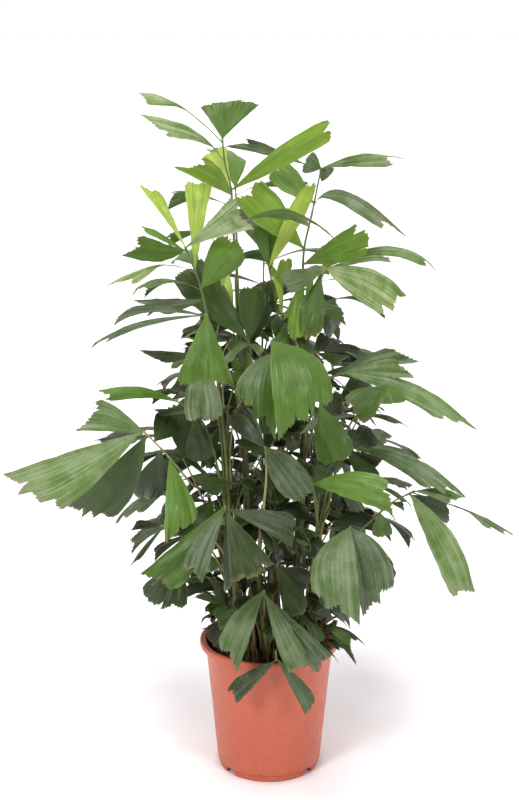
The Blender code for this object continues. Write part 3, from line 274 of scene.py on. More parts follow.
        (None, (294, 341, -0.100), 17, 5, "F", 2.2)]),
    ("rim_sprout_right", "soil", (0.078, -0.020), [(318, 634, -0.040), (325, 624, -0.052)], [
        (None, (365, 644, -0.070), 5, 25, "Bb", 0.5),
        (None, (350, 650, -0.080), 11, 10, "Ra", 0.8),
        (None, (356, 664, -0.090), 5, 10, "Ra", 0.4)]),
    ("rim_sprout_left", "soil", (-0.070, -0.030), [(228, 624, -0.050), (225, 607, -0.060)], [
        (None, (194, 597, -0.070), 9, 15, "A", 0.8),
        (None, (207, 577, -0.050), 8, 15, "R", 0.2),
        (None, (212, 646, -0.072), 17, 0, "F", 0.1)]),
]

# Back and side fronds, by rule: the cane and how far up, the way out
# (degrees, 0 to +X, 90 to the back), first and last pitch of the stalk, its
# length, the number of leaflets, and their length, width and age tint.
BACK_FRONDS = [
    ("back_top", "cane_tall", 0.95, 92, 72, 34, 0.19, 5, 0.135, 0.050, 1.7),
    ("back_crown", "cane_back", 1.0, 88, 80, 50, 0.25, 5, 0.140, 0.054, 1.5),
    ("back_high_left", "cane_left", 0.93, 100, 60, 14, 0.20, 5, 0.125, 0.052, 1.2),
    ("back_high_right", "cane_right", 0.85, 78, 60, 10, 0.21, 5, 0.130, 0.052, 1.2),
    ("back_upper", "cane_back", 0.90, 100, 56, 8, 0.22, 5, 0.145, 0.058, 1.0),
    ("back_upper_left", "cane_back_left", 1.0, 100, 66, 20, 0.20, 5, 0.140, 0.058, 0.9),
    ("back_upper_right", "cane_back_right", 1.0, 92, 66, 16, 0.21, 5, 0.130, 0.056, 0.9),
    ("back_mid", "cane_back", 0.70, 82, 44, -6, 0.22, 5, 0.150, 0.062, 0.7),
    ("back_mid_left", "cane_back_left", 0.76, 128, 40, -10, 0.23, 5, 0.145, 0.060, 0.6),
    ("back_mid_right", "cane_back_right", 0.76, 64, 38, -14, 0.23, 5, 0.145, 0.060, 0.6),
    ("side_left", "cane_back_left", 0.58, 152, 30, -4, 0.19, 5, 0.120, 0.054, 0.5),
    ("side_right", "cane_back_right", 0.62, 38, 34, -6, 0.15, 5, 0.110, 0.050, 0.5),
    ("back_low", "cane_back", 0.46, 98, 36, -16, 0.21, 5, 0.145, 0.062, 0.4),
    ("back_low_left", "cane_back_left", 0.38, 128, 30, -10, 0.17, 5, 0.125, 0.056, 0.3),
    ("back_low_right", "cane_back_right", 0.40, 58, 36, -16, 0.19, 5, 0.125, 0.056, 0.3),
    ("back_foot", "cane_back", 0.20, 84, 36, -20, 0.14, 3, 0.110, 0.045, 0.3),
]


# ------------------------------------------------------------------ curves
def spline(points, n):
    """n + 1 points, evenly spaced, on a smooth curve through the points."""
    pts = [np.asarray(p, float) for p in points]
    pts = [2 * pts[0] - pts[1]] + pts + [2 * pts[-1] - pts[-2]]
    out = []
    for i in range(1, len(pts) - 2):
        a, b, c, d = pts[i - 1:i + 3]
        for k in range(12):
            t = k / 12.0
            out.append(0.5 * (2 * b + (c - a) * t + (2 * a - 5 * b + 4 * c - d) * t * t
                              + (3 * b - a - 3 * c + d) * t ** 3))
    out.append(pts[-2])
    out = np.array(out)
    run = np.concatenate(([0.0], np.cumsum(np.linalg.norm(np.diff(out, axis=0), axis=1))))
    even = np.linspace(0.0, run[-1], n + 1)
    return np.stack([np.interp(even, run, out[:, k]) for k in range(3)], axis=1)


def along(path, t):
    """Point and direction at a fraction t of an evenly spaced path."""
    f = min(max(t, 0.0), 1.0) * (len(path) - 1)
    i = min(int(f), len(path) - 2)
    return path[i] + (path[i + 1] - path[i]) * (f - i), unit(path[i + 1] - path[i])


def cane_rings(name):
    """Centres of the cane's rings, from the soil up."""
    foot, way, low, _ = CANES[name]
    start = np.array((foot[0], foot[1], SOIL_TOP + GAP))
    rise = start + np.array((0.0, 0.0, 0.035))
    path = spline([start, rise] + [at(*p) for p in way], 48)
    ends = np.array([along(path, t)[0] for t in CANE_RINGS])
    lean = unit(ends[1] - ends[0])
    ends[0][2] += 1.4 * low * math.hypot(lean[0], lean[1])      # clear of the soil on its low side
    return ends


def cane_path(name, n=24):
    """The cane's middle line, evenly spaced along its straight lengths."""
    ends = cane_rings(name)
    run = np.concatenate(([0.0], np.cumsum(np.linalg.norm(np.diff(ends, axis=0), axis=1))))
    even = np.linspace(0.0, run[-1], n + 1)
    return np.stack([np.interp(even, run, ends[:, k]) for k in range(3)], axis=1)


def cane_radius(name, t):
    """The cane tapers upwards and flares a little where it leaves the soil."""
    _, _, low, high = CANES[name]
    return low + (high - low) * t + 0.35 * low * max(0.0, 1.0 - t / 0.06) ** 2


# ------------------------------------------------------------------ blades
class Leaf:
    """A leaflet's surface: p runs from the seat to the ragged end, t across."""

    def __init__(self, seat, tip, width, normal, outline, tint, twist=0.0):
        self.seat, self.tip, self.tint = seat, tip, tint
        self.outline = outline
        self.length = float(np.linalg.norm(tip - seat))
        self.axis = unit(tip - seat)
        self.normal = unit(normal - self.axis * float(normal @ self.axis))
        self.side = np.cross(self.normal, self.axis)
        self.width = width
        self.twist = twist
        self.fan = outline[0] == "F"
        self.flip = 1.0
        self.skew = 0.0
        self.short = 0.46 if "s" in outline else 0.84 if "e" in outline else 0.66
        if self.fan:
            self.short = 0.95 if "e" in outline else 0.84
        self.full, self.curve = 0.85, 1.0
        if "n" in outline:
            self.full = 0.0
        elif "w" in outline:
            self.full, self.curve = 0.65, 0.8
        elif "W" in outline:
            self.full, self.curve = 0.55, 0.55
        self.arch = 0.40 if "H" in outline else 0.22 if "h" in outline else 0.10 if "a" in outline else 0.035
        self.bow = 0.10 if "b" in outline else 0.0
        self.stalk = 0.50 if "K" in outline else 0.20 if "k" in outline else 0.03
        self.cup = 0.10

    def reach(self, t):
        """How far the vein at t reaches, as a part of the length."""
        if self.fan:
            return 1.0 + (self.short - 1.0) * abs(t) ** 1.8 + self.skew * t
        return self.short + (1.0 - self.short) * ((t + 1.0) / 2.0) ** 0.7

    def half(self, s):
        """Half width at a part s of the length."""
        q = max(0.0, (s - self.stalk) / (1.0 - self.stalk))
        grow = q if self.full == 0.0 else math.sin(0.5 * math.pi * min(1.0, q / self.full)) ** self.curve
        wane = 0.0 if self.full == 0.0 else 0.14 * max(0.0, q - 0.7) / 0.3
        return 0.0009 + 0.5 * self.width * grow * (1.0 - wane)

    def middle(self, s):
        lift = self.arch * self.length * 3.2 * s * max(0.0, 1.0 - s) ** 0.8
        return self.seat + (self.tip - self.seat) * s + self.normal * lift

    def frame(self, s):
        ang = self.twist * s
        n = self.normal * math.cos(ang) + self.side * math.sin(ang)
        w = self.side * math.cos(ang) - self.normal * math.sin(ang)
        return n, w

    def point(self, p, t):
        s = p * self.reach(t)
        h = self.half(s)
        n, w = self.frame(s)
        if self.fan:
            off = h * t
        else:
            swell = math.sin(math.pi * min(s, 1.0))
            off = self.flip * (h * (t - 1.0) + (0.05 * self.width + self.bow * self.length) * swell)
        drop = -self.cup * h * t * t
        return self.middle(s) + w * off + n * drop


def on_line(line, p):
    """The point of a polyline nearest to p."""
    best, found = 1e9, line[0]
    for a, b in zip(line[:-1], line[1:]):
        k = min(1.0, max(0.0, float((p - a) @ (b - a)) / max(1e-12, float((b - a) @ (b - a)))))
        q = a + (b - a) * k
        gap = float(np.linalg.norm(p - q))
        if gap < best:
            best, found = gap, q
    return found


def grid_size(leaf):
    """Rows along and columns across of a leaflet's solid."""
    if leaf.width * leaf.length < SMALL and leaf.bow + leaf.arch < 0.12:
        return 1, 1
    return (2, 2) if leaf.fan and leaf.width > 0.085 else (2, 1)


def blade_grid(leaf, line, sink=0.0):
    """Grid of the blade, its foot moved onto the stalk's line."""
    rows, cols = grid_size(leaf)
    foot = on_line(line, leaf.seat) - leaf.seat - leaf.axis * sink
    return [[leaf.point(i / rows, 2.0 * j / cols - 1.0) + (foot if i == 0 else 0.0) for j in range(cols + 1)]
            for i in range(rows + 1)]


def plate(leaf, thick, line):
    """Closed plate round the blade, for testing room: points and faces."""
    rows, cols = grid_size(leaf)
    grid = np.array(blade_grid(leaf, line))
    along_, across = np.gradient(grid, axis=0), np.gradient(grid, axis=1)
    normal = np.cross(along_, across)
    normal /= np.maximum(np.linalg.norm(normal, axis=2, keepdims=True), 1e-12)
    pts, n = [], (rows + 1) * (cols + 1)
    for sign in (1.0, -1.0):
        pts += [Vector(p) for p in (grid + normal * (sign * thick / 2)).reshape(-1, 3)]
    ix = lambda i, j: i * (cols + 1) + j
    faces = []
    for i in range(rows):
        for j in range(cols):
            a, b, c, d = ix(i, j), ix(i + 1, j), ix(i + 1, j + 1), ix(i, j + 1)
            faces += [(a, b, c), (a, c, d), (a + n, c + n, b + n), (a + n, d + n, c + n)]
    ring = [ix(i, 0) for i in range(rows + 1)] + [ix(rows, j) for j in range(1, cols + 1)]
    ring += [ix(i, cols) for i in range(rows - 1, -1, -1)] + [ix(0, j) for j in range(cols - 1, 0, -1)]
    for a, b in zip(ring, ring[1:] + ring[:1]):
        faces += [(a, b, b + n), (a, b + n, a + n)]
    return pts, faces


def tube(path, radius, sides=6):
    """Closed tube of a radius function, for testing room."""
    pts, faces, n = [], [], len(path)
    for i, p in enumerate(path):
        _, d = along(path, i / (n - 1))
        a = unit(np.cross(d, (0.31, 0.95, 0.07)))
        b = np.cross(d, a)
        r = radius(i / (n - 1))
        pts += [Vector(p + a * (r * math.cos(2 * math.pi * k / sides))
                       + b * (r * math.sin(2 * math.pi * k / sides))) for k in range(sides)]
    for i in range(n - 1):
        for k in range(sides):
            a, b = i * sides + k, i * sides + (k + 1) % sides
            faces += [(a, b, b + sides), (a, b + sides, a + sides)]
    faces += [(0, k, k + 1) for k in range(1, sides - 1)]
    last = (n - 1) * sides
    faces += [(last, last + k + 1, last + k) for k in range(1, sides - 1)]
    return pts, faces


class Room:
    """What is already placed, and whether a new piece has room beside it."""

    def __init__(self):
        self.items = []

    def add(self, owner, pts, faces):
        arr = np.array([tuple(p) for p in pts])
        self.items.append((owner, arr.min(0), arr.max(0), BVHTree.FromPolygons(pts, faces)))

    def hits(self, owner, pts, faces, stop=True, skip=()):
        arr = np.array([tuple(p) for p in pts])
        lo, hi = arr.min(0), arr.max(0)
        tree, count = None, 0
        for other, olo, ohi, otree in self.items:
            if other == owner or other in skip or (lo > ohi).any() or (olo > hi).any():
                continue
            if tree is None:
                tree = BVHTree.FromPolygons(pts, faces)
            found = len(tree.overlap(otree))
            if found:
                count += found
                if stop:
                    return count
        return count


def pot_profile():
    """Outside of the pot from the lip down to the foot, then in and up."""
    h, lip = POT_HEIGHT, POT_LIP
    return [(POT_RIM_R - 0.0100, h - 0.0015), (POT_RIM_R - 0.0080, h), (POT_RIM_R - 0.0025, h),
            (POT_RIM_R, h - 0.0025), (POT_RIM_R, h - lip),
            (0.1092, h - lip - 0.0030), (0.0994, 0.092), (0.0896, 0.0125), (0.0880, 0.0110), (POT_FOOT_R, 0.0)]


def rib_radius(t):
    return RIB_FOOT + (RIB_TIP - RIB_FOOT) * t ** 0.8


# ------------------------------------------------------------------ growing
def leave_cane(cane, f, toward):
    """Seat of a stalk beside its cane, and a second point a little further."""
    path = cane_path(cane)
    p, d = along(path, f)
    if f >= 0.999:
        return [p + d * (GAP + 0.0002), p + d * 0.014]
    out = toward - p
    out = unit(np.array((out[0], out[1], 0.0)))
    out = unit(out - d * float(out @ d))
    r = cane_radius(cane, f) + RIB_FOOT + 0.0014
    return [p + out * r, p + out * (r + 0.0015) + d * 0.016]


def nearest(path, u, v):
    """Fraction of the path that shows nearest to (u, v) of the elevation."""
    best, t = 1e9, 1.0
    for i in range(81):
        p, _ = along(path, i / 80.0)
        pu, pv = seen(p)
        gap = (pu - u) ** 2 + (pv - v) ** 2
        if gap < best:
            best, t = gap, i / 80.0
    return t


SIDES = {"A": (0, -1), "B": (0, 1), "L": (-1, 0), "R": (1, 0)}


def front_leaf(path, row, order, dy=0.0, droll=0.0, size=1.0):
    """A leaflet of the front table on its stalk.  Those of one hub sit a few
    millimetres apart, in their order."""
    seat_uv, (u, v, y), wide, roll, outline, tint = row
    run = float(np.linalg.norm(np.diff(path, axis=0), axis=1).sum())
    t = 1.0 - (0.0008 + HUB_STEP * order) / run if seat_uv is None else nearest(path, *seat_uv)
    seat, _ = along(path, min(t, 1.0 - 0.0008 / run))
    tip = at(u, v, y + dy)
    tip = seat + (tip - seat) * size
    scale = float(np.linalg.norm(EYE - 0.5 * (seat + tip))) / FOCAL
    axis = unit(tip - seat)
    view = unit(EYE - 0.5 * (seat + tip))
    face = unit(view - axis * float(view @ axis))
    side = np.cross(face, axis)
    ang = math.radians(roll + droll)
    # edge-on blades keep their upper face up
    turn = 1.0 if side[2] > 0 else -1.0
    normal = face * math.cos(ang) + side * (turn * math.sin(ang))
    if "u" in outline:
        normal = -face * math.cos(ang) + side * (turn * math.sin(ang))
    leaf = Leaf(seat, tip, wide * scale * size, normal, outline, tint, math.radians(6.0))
    shorter = outline[1:2] if leaf.fan else outline[0]
    if shorter in SIDES:
        mid = leaf.middle(0.5)
        a, b = seen(mid), seen(mid - leaf.side * 0.01)
        turned = (b[0] - a[0]) * SIDES[shorter][0] + (b[1] - a[1]) * SIDES[shorter][1] < 0
        if leaf.fan:
            leaf.skew = -0.13 if turned else 0.13
        elif turned:
            leaf.flip = -1.0
    return leaf


def back_leaf(path, spec, k, count, swing=0.0, size=1.0):
    """Leaflet k of a frond that follows the rule; the last one ends the stalk."""
    _, _, _, way, _, _, _, _, long_, wide, tint = spec
    last = k == count - 1
    t = 1.0 if last else 0.46 + 0.46 * k / max(1, count - 2)
    seat, d = along(path, t * 0.995)
    flat = unit(np.array((d[0], d[1], 0.0)) + 1e-6)
    across = np.array((-flat[1], flat[0], 0.0)) * (1.0 if k % 2 == 0 else -1.0)
    wave = math.sin(12.9898 * (k + 1) + 0.37 * way)
    if last:
        aim = unit(d + np.array((0, 0, -0.25)) + across * 0.12)
        outline, wide_ = "Fna" if wave > 0 else "Fa", wide * 1.4
    else:
        aim = unit(d * 0.55 + across * (0.85 + 0.15 * wave) + np.array((0.0, 0.0, -0.30 - 0.25 * (1 + wave) * (1 - t))))
        outline, wide_ = ("Bea", "Ba", "Bwa")[k % 3], wide
    aim = unit(aim + flat * (0.12 * swing) + np.array((0, 0, -0.10 * swing)))
    tip = seat + aim * long_ * size * (0.88 + 0.18 * wave * wave)
    up = unit(UP + flat * 0.25 + across * (0.30 + 0.35 * wave) + d * 0.2)
    leaf = Leaf(seat, tip, wide_ * size, up, outline, tint + 0.25 * wave, math.radians(8.0 * wave))
    leaf.arch = 0.12
    if not leaf.fan and float((leaf.side) @ d) < 0:
        leaf.flip = -1.0
    return leaf


SHIFTS = [0.0] + [s * k * 0.008 for k in range(1, 17) for s in (-1, 1)]
TRIES = [(0.0, 0.0, 1.0)]
TRIES += [(s * k * 0.008, 0.0, 1.0) for k in range(1, 14) for s in (-1, 1)]
TRIES += [(s * k * 0.012, r, 0.96) for k in range(0, 9) for s in (-1, 1) for r in (-16.0, 16.0)]
TRIES += [(s * k * 0.012, r, 0.80) for k in range(0, 9) for s in (-1, 1) for r in (-8.0, 8.0)]
TRIES += [(s * k * 0.015, 0.0, 0.62) for k in range(0, 9) for s in (-1, 1)]
BACK_TRIES = [(0.0, 1.0)] + [(s * k * 0.5, z) for z in (1.0, 0.85, 0.7, 0.55) for k in range(1, 8) for s in (1, -1)]


def soil_and_pot_room(room):
    steps = 32
    prof = pot_profile() + [(POT_FOOT_R - 0.003, 0.0), (POT_RIM_R - 0.0125, POT_HEIGHT - 0.006)]
    pts, faces, n = [], [], len(prof)
    for k in range(steps):
        a = 2 * math.pi * k / steps
        pts += [Vector((r * 1.012 * math.sin(a), -r * 1.012 * math.cos(a), z + (0.0012 if z > 0.1 else 0.0))) for r, z in prof]
    for k in range(steps):
        for i in range(n):
            a, b = k * n + i, k * n + (i + 1) % n
            c, d = ((k + 1) % steps) * n + i, ((k + 1) % steps) * n + (i + 1) % n
            faces += [(a, b, d), (a, d, c)]
    room.add("pot", pts, faces)
    ring = [Vector((0.108 * math.cos(2 * math.pi * k / 24), 0.108 * math.sin(2 * math.pi * k / 24), SOIL_TOP)) for k in range(24)]
    top = ring + [Vector((0, 0, SOIL_TOP))]
    room.add("soil", top, [(k, (k + 1) % 24, 24) for k in range(24)])


def rib_points(start, way, shift, lift):
    """Stalk through its way points, its middle moved aside by the shift.  A
    slanting foot is raised so that its low side stays clear."""
    pts = list(start) + list(way)
    full = spline(pts, 20)
    bump = np.sin(np.pi * np.linspace(0.0, 1.0, len(full)))
    full = full + bump[:, None] * np.array((lift, shift, 0.0))
    rise, lean = unit(pts[1] - pts[0]), unit(full[5] - full[0])
    full[0] += rise * (1.5 * RIB_FOOT * math.sqrt(max(0.0, 1.0 - float(rise @ lean) ** 2)))
    return full


def settle(room, name, paths, skip):
    """The first of the stalk's possible ways that has room."""
    best, kept = 10 ** 9, None
    for path in paths:
        pts, faces = tube(path[::5], lambda t: rib_radius(t) + 0.0010, 4)
        found = room.hits(name, pts, faces, stop=False, skip=skip)
        if found < best:
            best, kept = found, path
        if found == 0:
            break
    return kept, best


def grow():
    """Every stalk and leaflet of the plant, each with room beside the others."""
    room, fronds, report = Room(), [], []
    soil_and_pot_room(room)
    for cane in CANES:
        path = cane_path(cane)
        pts, faces = tube(path, lambda t, c=cane: cane_radius(c, t) + 0.0003, CANE_SIDES)
        hit = room.hits(cane, pts, faces, stop=False, skip=("soil",))
        if hit:
            report.append((cane, "cane", hit))
        room.add(cane, pts, faces)
    plans = []
    for name, cane, f, way, rows in FRONDS:
        way3 = [at(*p) for p in way]
        if cane == "soil":
            foot = np.array((f[0], f[1], SOIL_TOP + GAP))
            start = [foot, foot + np.array((0.0, 0.0, 0.012))]
        else:
            start = leave_cane(cane, f, way3[0])
        ways = [rib_points(start, way3, sh, li) for li in (0.0, 0.008, -0.008, 0.016, -0.016) for sh in SHIFTS[:21]]
        path, bad = settle(room, name, ways, ("soil",) if cane == "soil" else ())
        if bad:
            report.append((name, "stalk", bad))
        pts, faces = tube(path[::5], rib_radius, 4)
        room.add(name, pts, faces)
        plans.append([name, cane, path, [], rows])
    for plan in plans:
        name, cane, path, leaves, rows = plan
        order = 0
        for row in rows:
            for dy, droll, size in TRIES:
                leaf = front_leaf(path, row, order, dy, droll, size)
                pts, faces = plate(leaf, BLADE + 2 * CLEAR, path[::5])
                if not room.hits(name, pts, faces):
                    break
            else:
                report.append((name, "leaflet", row[1]))
                continue
            pts, faces = plate(leaf, BLADE, path[::5])
            room.add(name, pts, faces)
            leaves.append(leaf)
            order += 1 if row[0] is None else 0
            if abs(dy) > 0.05 or size < 1.0:
                report.append((name, "moved", row[1], round(dy, 3), droll, size))
        fronds.append((name, cane, path, leaves))
    for spec in BACK_FRONDS:
        name, cane, f, way, pitch0, pitch1, run, count = spec[:8]
        az = math.radians(way)
        flat = np.array((math.cos(az), math.sin(az), 0.0))
        start = leave_cane(cane, f, along(cane_path(cane), f)[0] + flat)
        way3, p = [], np.array(start[1])
        for k in range(4):
            pitch = math.radians(pitch0 + (pitch1 - pitch0) * (k + 0.5) / 4)
            p = p + (flat * math.cos(pitch) + UP * math.sin(pitch)) * (run / 4)
            way3.append(p)
        turns = []
        for li in (0.0, 0.012, -0.012, 0.024, -0.024):
            turns += [rib_points(start, way3, sh, li) for sh in SHIFTS[:13]]
        path, bad = settle(room, name, turns, ())
        if bad:
            report.append((name, "stalk", bad))
        pts, faces = tube(path[::5], rib_radius, 4)
        room.add(name, pts, faces)
        leaves = []
        for k in range(count):
            for swing, size in BACK_TRIES:
                leaf = back_leaf(path, spec, k, count, swing, size)
                pts, faces = plate(leaf, BLADE + 2 * CLEAR, path[::5])
                if not room.hits(name, pts, faces):
                    break
            else:
                report.append((name, "leaflet", k))
                continue
            pts, faces = plate(leaf, BLADE, path[::5])
            room.add(name, pts, faces)
            leaves.append(leaf)
        fronds.append((name, cane, path, leaves))
    return fronds, report



# ================================================================== looks
LEAF_THICK = 0.00042
SHADES = 10             # steps of age tint from old and dark to new and bright
VEIN = 0.0021           # between the fine veins at a leaflet's end
FILL_TRIES = 12000      # points of the crown that are tried for a further spray
FILL_LEAVES = 460       # leaflets that those sprays carry at most
PLEAT = 0.0105          # between its broad folds


def chance(*words):
    """A number generator that depends on nothing but the words it is given."""
    code = 7
    for letter in "/".join(str(w) for w in words):
        code = (code * 131 + ord(letter)) % 4294967291
    return np.random.default_rng(code)


def smooth(x, lo, hi):
    x = np.clip((np.asarray(x, float) - lo) / (hi - lo), 0.0, 1.0)
    return x * x * (3.0 - 2.0 * x)


def linear(r, g, b):
    """A colour given as it looks, 0 to 255, in the scale that light adds in."""
    out = []
    for c in (r, g, b):
        c = c / 255.0
        out.append(c / 12.92 if c <= 0.04045 else ((c + 0.055) / 1.055) ** 2.4)
    return tuple(out)


def new_object(name, mesh, materials=()):
    obj = bpy.data.objects.new(name, mesh)
    bpy.context.scene.collection.objects.link(obj)
    for mat in materials:
        obj.data.materials.append(mat)
    return obj


class Pile:
    """Grows one mesh out of many pieces of points, faces, shades and veins."""

    def __init__(self):
        self.points, self.faces, self.shade, self.veins, self.count = [], [], [], [], 0

    def add(self, points, faces, shade, veins=None):
        points = np.asarray(points, float)
        faces = np.asarray(faces, int)
        self.points.append(points)
        self.faces.append(faces + self.count)
        self.shade.append(np.broadcast_to(np.asarray(shade, int), (len(faces),)))
        where = np.zeros((len(points), 4))
        if veins is not None:
            where[:, :np.shape(veins)[1]] = veins
        self.veins.append(where)
        self.count += len(points)

    def object(self, name, materials, sharp=None):
        """One mesh object of all that was added.  Faces are quads, or
        triangles whose last corner is repeated."""
        points = np.concatenate(self.points)
        faces = np.concatenate(self.faces)
        shade = np.concatenate(self.shade)
        veins = np.concatenate(self.veins)
        tri = faces[:, 3] == faces[:, 2]
        sizes = np.where(tri, 3, 4)
        loops = faces.reshape(-1)[np.stack([np.ones(len(faces), bool)] * 3 + [~tri], axis=1).reshape(-1)]
        mesh = bpy.data.meshes.new(name)
        mesh.vertices.add(len(points))
        mesh.vertices.foreach_set("co", points.astype(np.float32).reshape(-1))
        mesh.loops.add(len(loops))
        mesh.loops.foreach_set("vertex_index", loops.astype(np.int32))
        mesh.polygons.add(len(faces))
        starts = np.concatenate(([0], np.cumsum(sizes)[:-1]))
        mesh.polygons.foreach_set("loop_start", starts.astype(np.int32))
        mesh.polygons.foreach_set("use_smooth", np.ones(len(faces), bool))
        used = np.unique(shade)
        place = {int(s): k for k, s in enumerate(used)}
        mesh.polygons.foreach_set("material_index", np.array([place[int(s)] for s in shade], np.int32))
        layer = mesh.uv_layers.new(name="veins")
        layer.data.foreach_set("uv", veins[loops, :2].astype(np.float32).reshape(-1))
        if veins[:, 2:].any():
            layer = mesh.uv_layers.new(name="ends")
            layer.data.foreach_set("uv", veins[loops, 2:].astype(np.float32).reshape(-1))
        mesh.update(calc_edges=True)
        mesh.validate(clean_customdata=False)
        if sharp is not None:
            mesh.set_sharp_from_angle(angle=math.radians(sharp))
        return new_object(name, mesh, [materials[int(s)] for s in used])


def grid_faces(rows, cols, closed=False):
    """Quads of a grid of rows + 1 by cols + 1 points, or round a tube."""
    wide = cols if closed else cols + 1
    i, j = np.meshgrid(np.arange(rows), np.arange(cols), indexing="ij")
    a = i * wide + j
    b = i * wide + (j + 1) % wide
    return np.stack([a, a + wide, b + wide, b], axis=-1).reshape(-1, 4)


def frames(path):
    """Directions along a path and two across it that turn as little as may be."""
    d = np.gradient(path, axis=0)
    d /= np.maximum(np.linalg.norm(d, axis=1, keepdims=True), 1e-12)
    a = np.zeros_like(d)
    a[0] = unit(np.cross(d[0], (0.31, 0.95, 0.07)))
    for k in range(1, len(d)):
        a[k] = unit(a[k - 1] - d[k] * float(a[k - 1] @ d[k]))
    return d, a, np.cross(d, a)


def tube_piece(pile, path, radius, sides, shade, relief=None, squash=1.0, seed=0.0):
    """A closed tube; relief multiplies the radius at each ring and side."""
    path = np.asarray(path, float)
    n = len(path)
    d, a, b = frames(path)
    ang = 2 * math.pi * np.arange(sides) / sides
    r = np.asarray(radius, float)[:, None] * np.ones((1, sides))
    if relief is not None:
        r = r * relief
    ring = path[:, None, :] + a[:, None, :] * (r * np.cos(ang))[:, :, None] + b[:, None, :] * (r * np.sin(ang) * squash)[:, :, None]
    run = np.concatenate(([0.0], np.cumsum(np.linalg.norm(np.diff(path, axis=0), axis=1))))
    points = np.concatenate([ring.reshape(-1, 3), [path[0]], [path[-1]]])
    veins = np.stack(np.broadcast_arrays(np.abs(np.arange(sides) - sides / 2.0)[None, :] / sides * 2 + seed,
                                         run[:, None] / 0.02 + seed), axis=-1).reshape(-1, 2)
    veins = np.concatenate([veins, [[seed, seed], [seed, run[-1] / 0.02 + seed]]])
    faces = grid_faces(n - 1, sides, closed=True)[:, ::-1]
    k = np.arange(sides)
    top = (n - 1) * sides
    foot, head = n * sides, n * sides + 1
    caps = np.concatenate([np.stack([(k + 1) % sides, k, np.full(sides, foot), np.full(sides, foot)], axis=1),
                           np.stack([top + k, top + (k + 1) % sides, np.full(sides, head), np.full(sides, head)], axis=1)])
    pile.add(points, np.concatenate([faces, caps]), shade, veins)


# ------------------------------------------------------------------ materials
class Nodes:
    """A short way of writing a material's nodes."""

    def ends(self, colour, place, dry, share):
        """Patches of the bitten end are dry and pale, and the margin is paler."""
        far, out = self.veins("ends")
        far = self.sum("ADD", far, self.sum("MULTIPLY", self.noise(place, 120.0, 3.0), 0.16))
        here = self.sum("MULTIPLY", self.spread(far, 1.015, 1.075), self.spread(self.noise(place, 21.0, 2.0), 0.44, 0.60, 0.10, share))
        colour = self.blend(here, colour, dry)
        return self.blend(self.spread(out, 0.955, 0.985, 0.0, 0.22), colour, linear(170, 178, 120))

    def __init__(self, name):
        self.mat = bpy.data.materials.new(name)
        self.mat.use_nodes = True
        self.tree = self.mat.node_tree
        self.shader = self.tree.nodes["Principled BSDF"]
        self.out = self.tree.nodes["Material Output"]

    def put(self, kind, inputs=None, **props):
        node = self.tree.nodes.new(kind)
        for key, value in props.items():
            setattr(node, key, value)
        for key, value in (inputs or {}).items():
            self.join(value, node.inputs[key])
        return node

    def join(self, value, socket):
        if isinstance(value, bpy.types.NodeSocket):
            self.tree.links.new(value, socket)
        else:
            socket.default_value = value

    def sum(self, op, a, b=0.0, c=0.0):
        return self.put("ShaderNodeMath", {0: a, 1: b, 2: c}, operation=op).outputs[0]

    def spread(self, value, lo, hi, to_lo=0.0, to_hi=1.0):
        return self.put("ShaderNodeMapRange", {"Value": value, "From Min": lo, "From Max": hi,
                                               "To Min": to_lo, "To Max": to_hi}).outputs[0]

    def blend(self, factor, a, b, kind="MIX"):
        node = self.put("ShaderNodeMix", data_type="RGBA", blend_type=kind)
        a = (*a, 1.0) if isinstance(a, tuple) else a
        b = (*b, 1.0) if isinstance(b, tuple) else b
        self.join(factor, node.inputs[0])
        self.join(a, node.inputs[6])
        self.join(b, node.inputs[7])
        return node.outputs[2]

    def noise(self, vector, scale, detail=2.0, rough=0.5):
        return self.put("ShaderNodeTexNoise", {"Vector": vector, "Scale": scale, "Detail": detail,
                                               "Roughness": rough}).outputs["Fac"]

    def place(self):
        return self.put("ShaderNodeTexCoord").outputs["Object"]

    def veins(self, name="veins"):
        node = self.put("ShaderNodeUVMap", uv_map=name)
        split = self.put("ShaderNodeSeparateXYZ", {0: node.outputs[0]})
        return split.outputs[0], split.outputs[1]

    def vector(self, x, y, z=0.0):
        return self.put("ShaderNodeCombineXYZ", {0: x, 1: y, 2: z}).outputs[0]

    def finish(self, colour, rough, bump=None, strength=0.5, distance=0.0004, specular=0.5):
        self.join(colour, self.shader.inputs["Base Color"])
        self.join(rough, self.shader.inputs["Roughness"])
        self.shader.inputs["Specular IOR Level"].default_value = specular
        if bump is not None:
            node = self.put("ShaderNodeBump", {"Height": bump, "Strength": strength, "Distance": distance})
            self.join(node.outputs[0], self.shader.inputs["Normal"])
        return self.mat


def scaled(colour, k, towards=None, share=0.0):
    out = [c * k for c in colour]
    if towards is not None:
        out = [c + (d - c) * share for c, d in zip(out, towards)]
    return tuple(min(1.0, max(0.0, c)) for c in out)


# How a leaflet's upper face looks at each age, old to new.
AGES = [(26, 36, 15), (42, 59, 23), (54, 78, 27), (68, 98, 31), (80, 115, 34),
        (93, 131, 38), (109, 148, 44), (133, 168, 54), (174, 197, 84), (196, 213, 112)]
# How the greyer ones look, dark to pale: a pale grey-green that is painted sheen.
SHEEN_GREENS = [(64, 79, 48), (93, 109, 78), (116, 132, 97), (134, 154, 104), (178, 195, 142)]


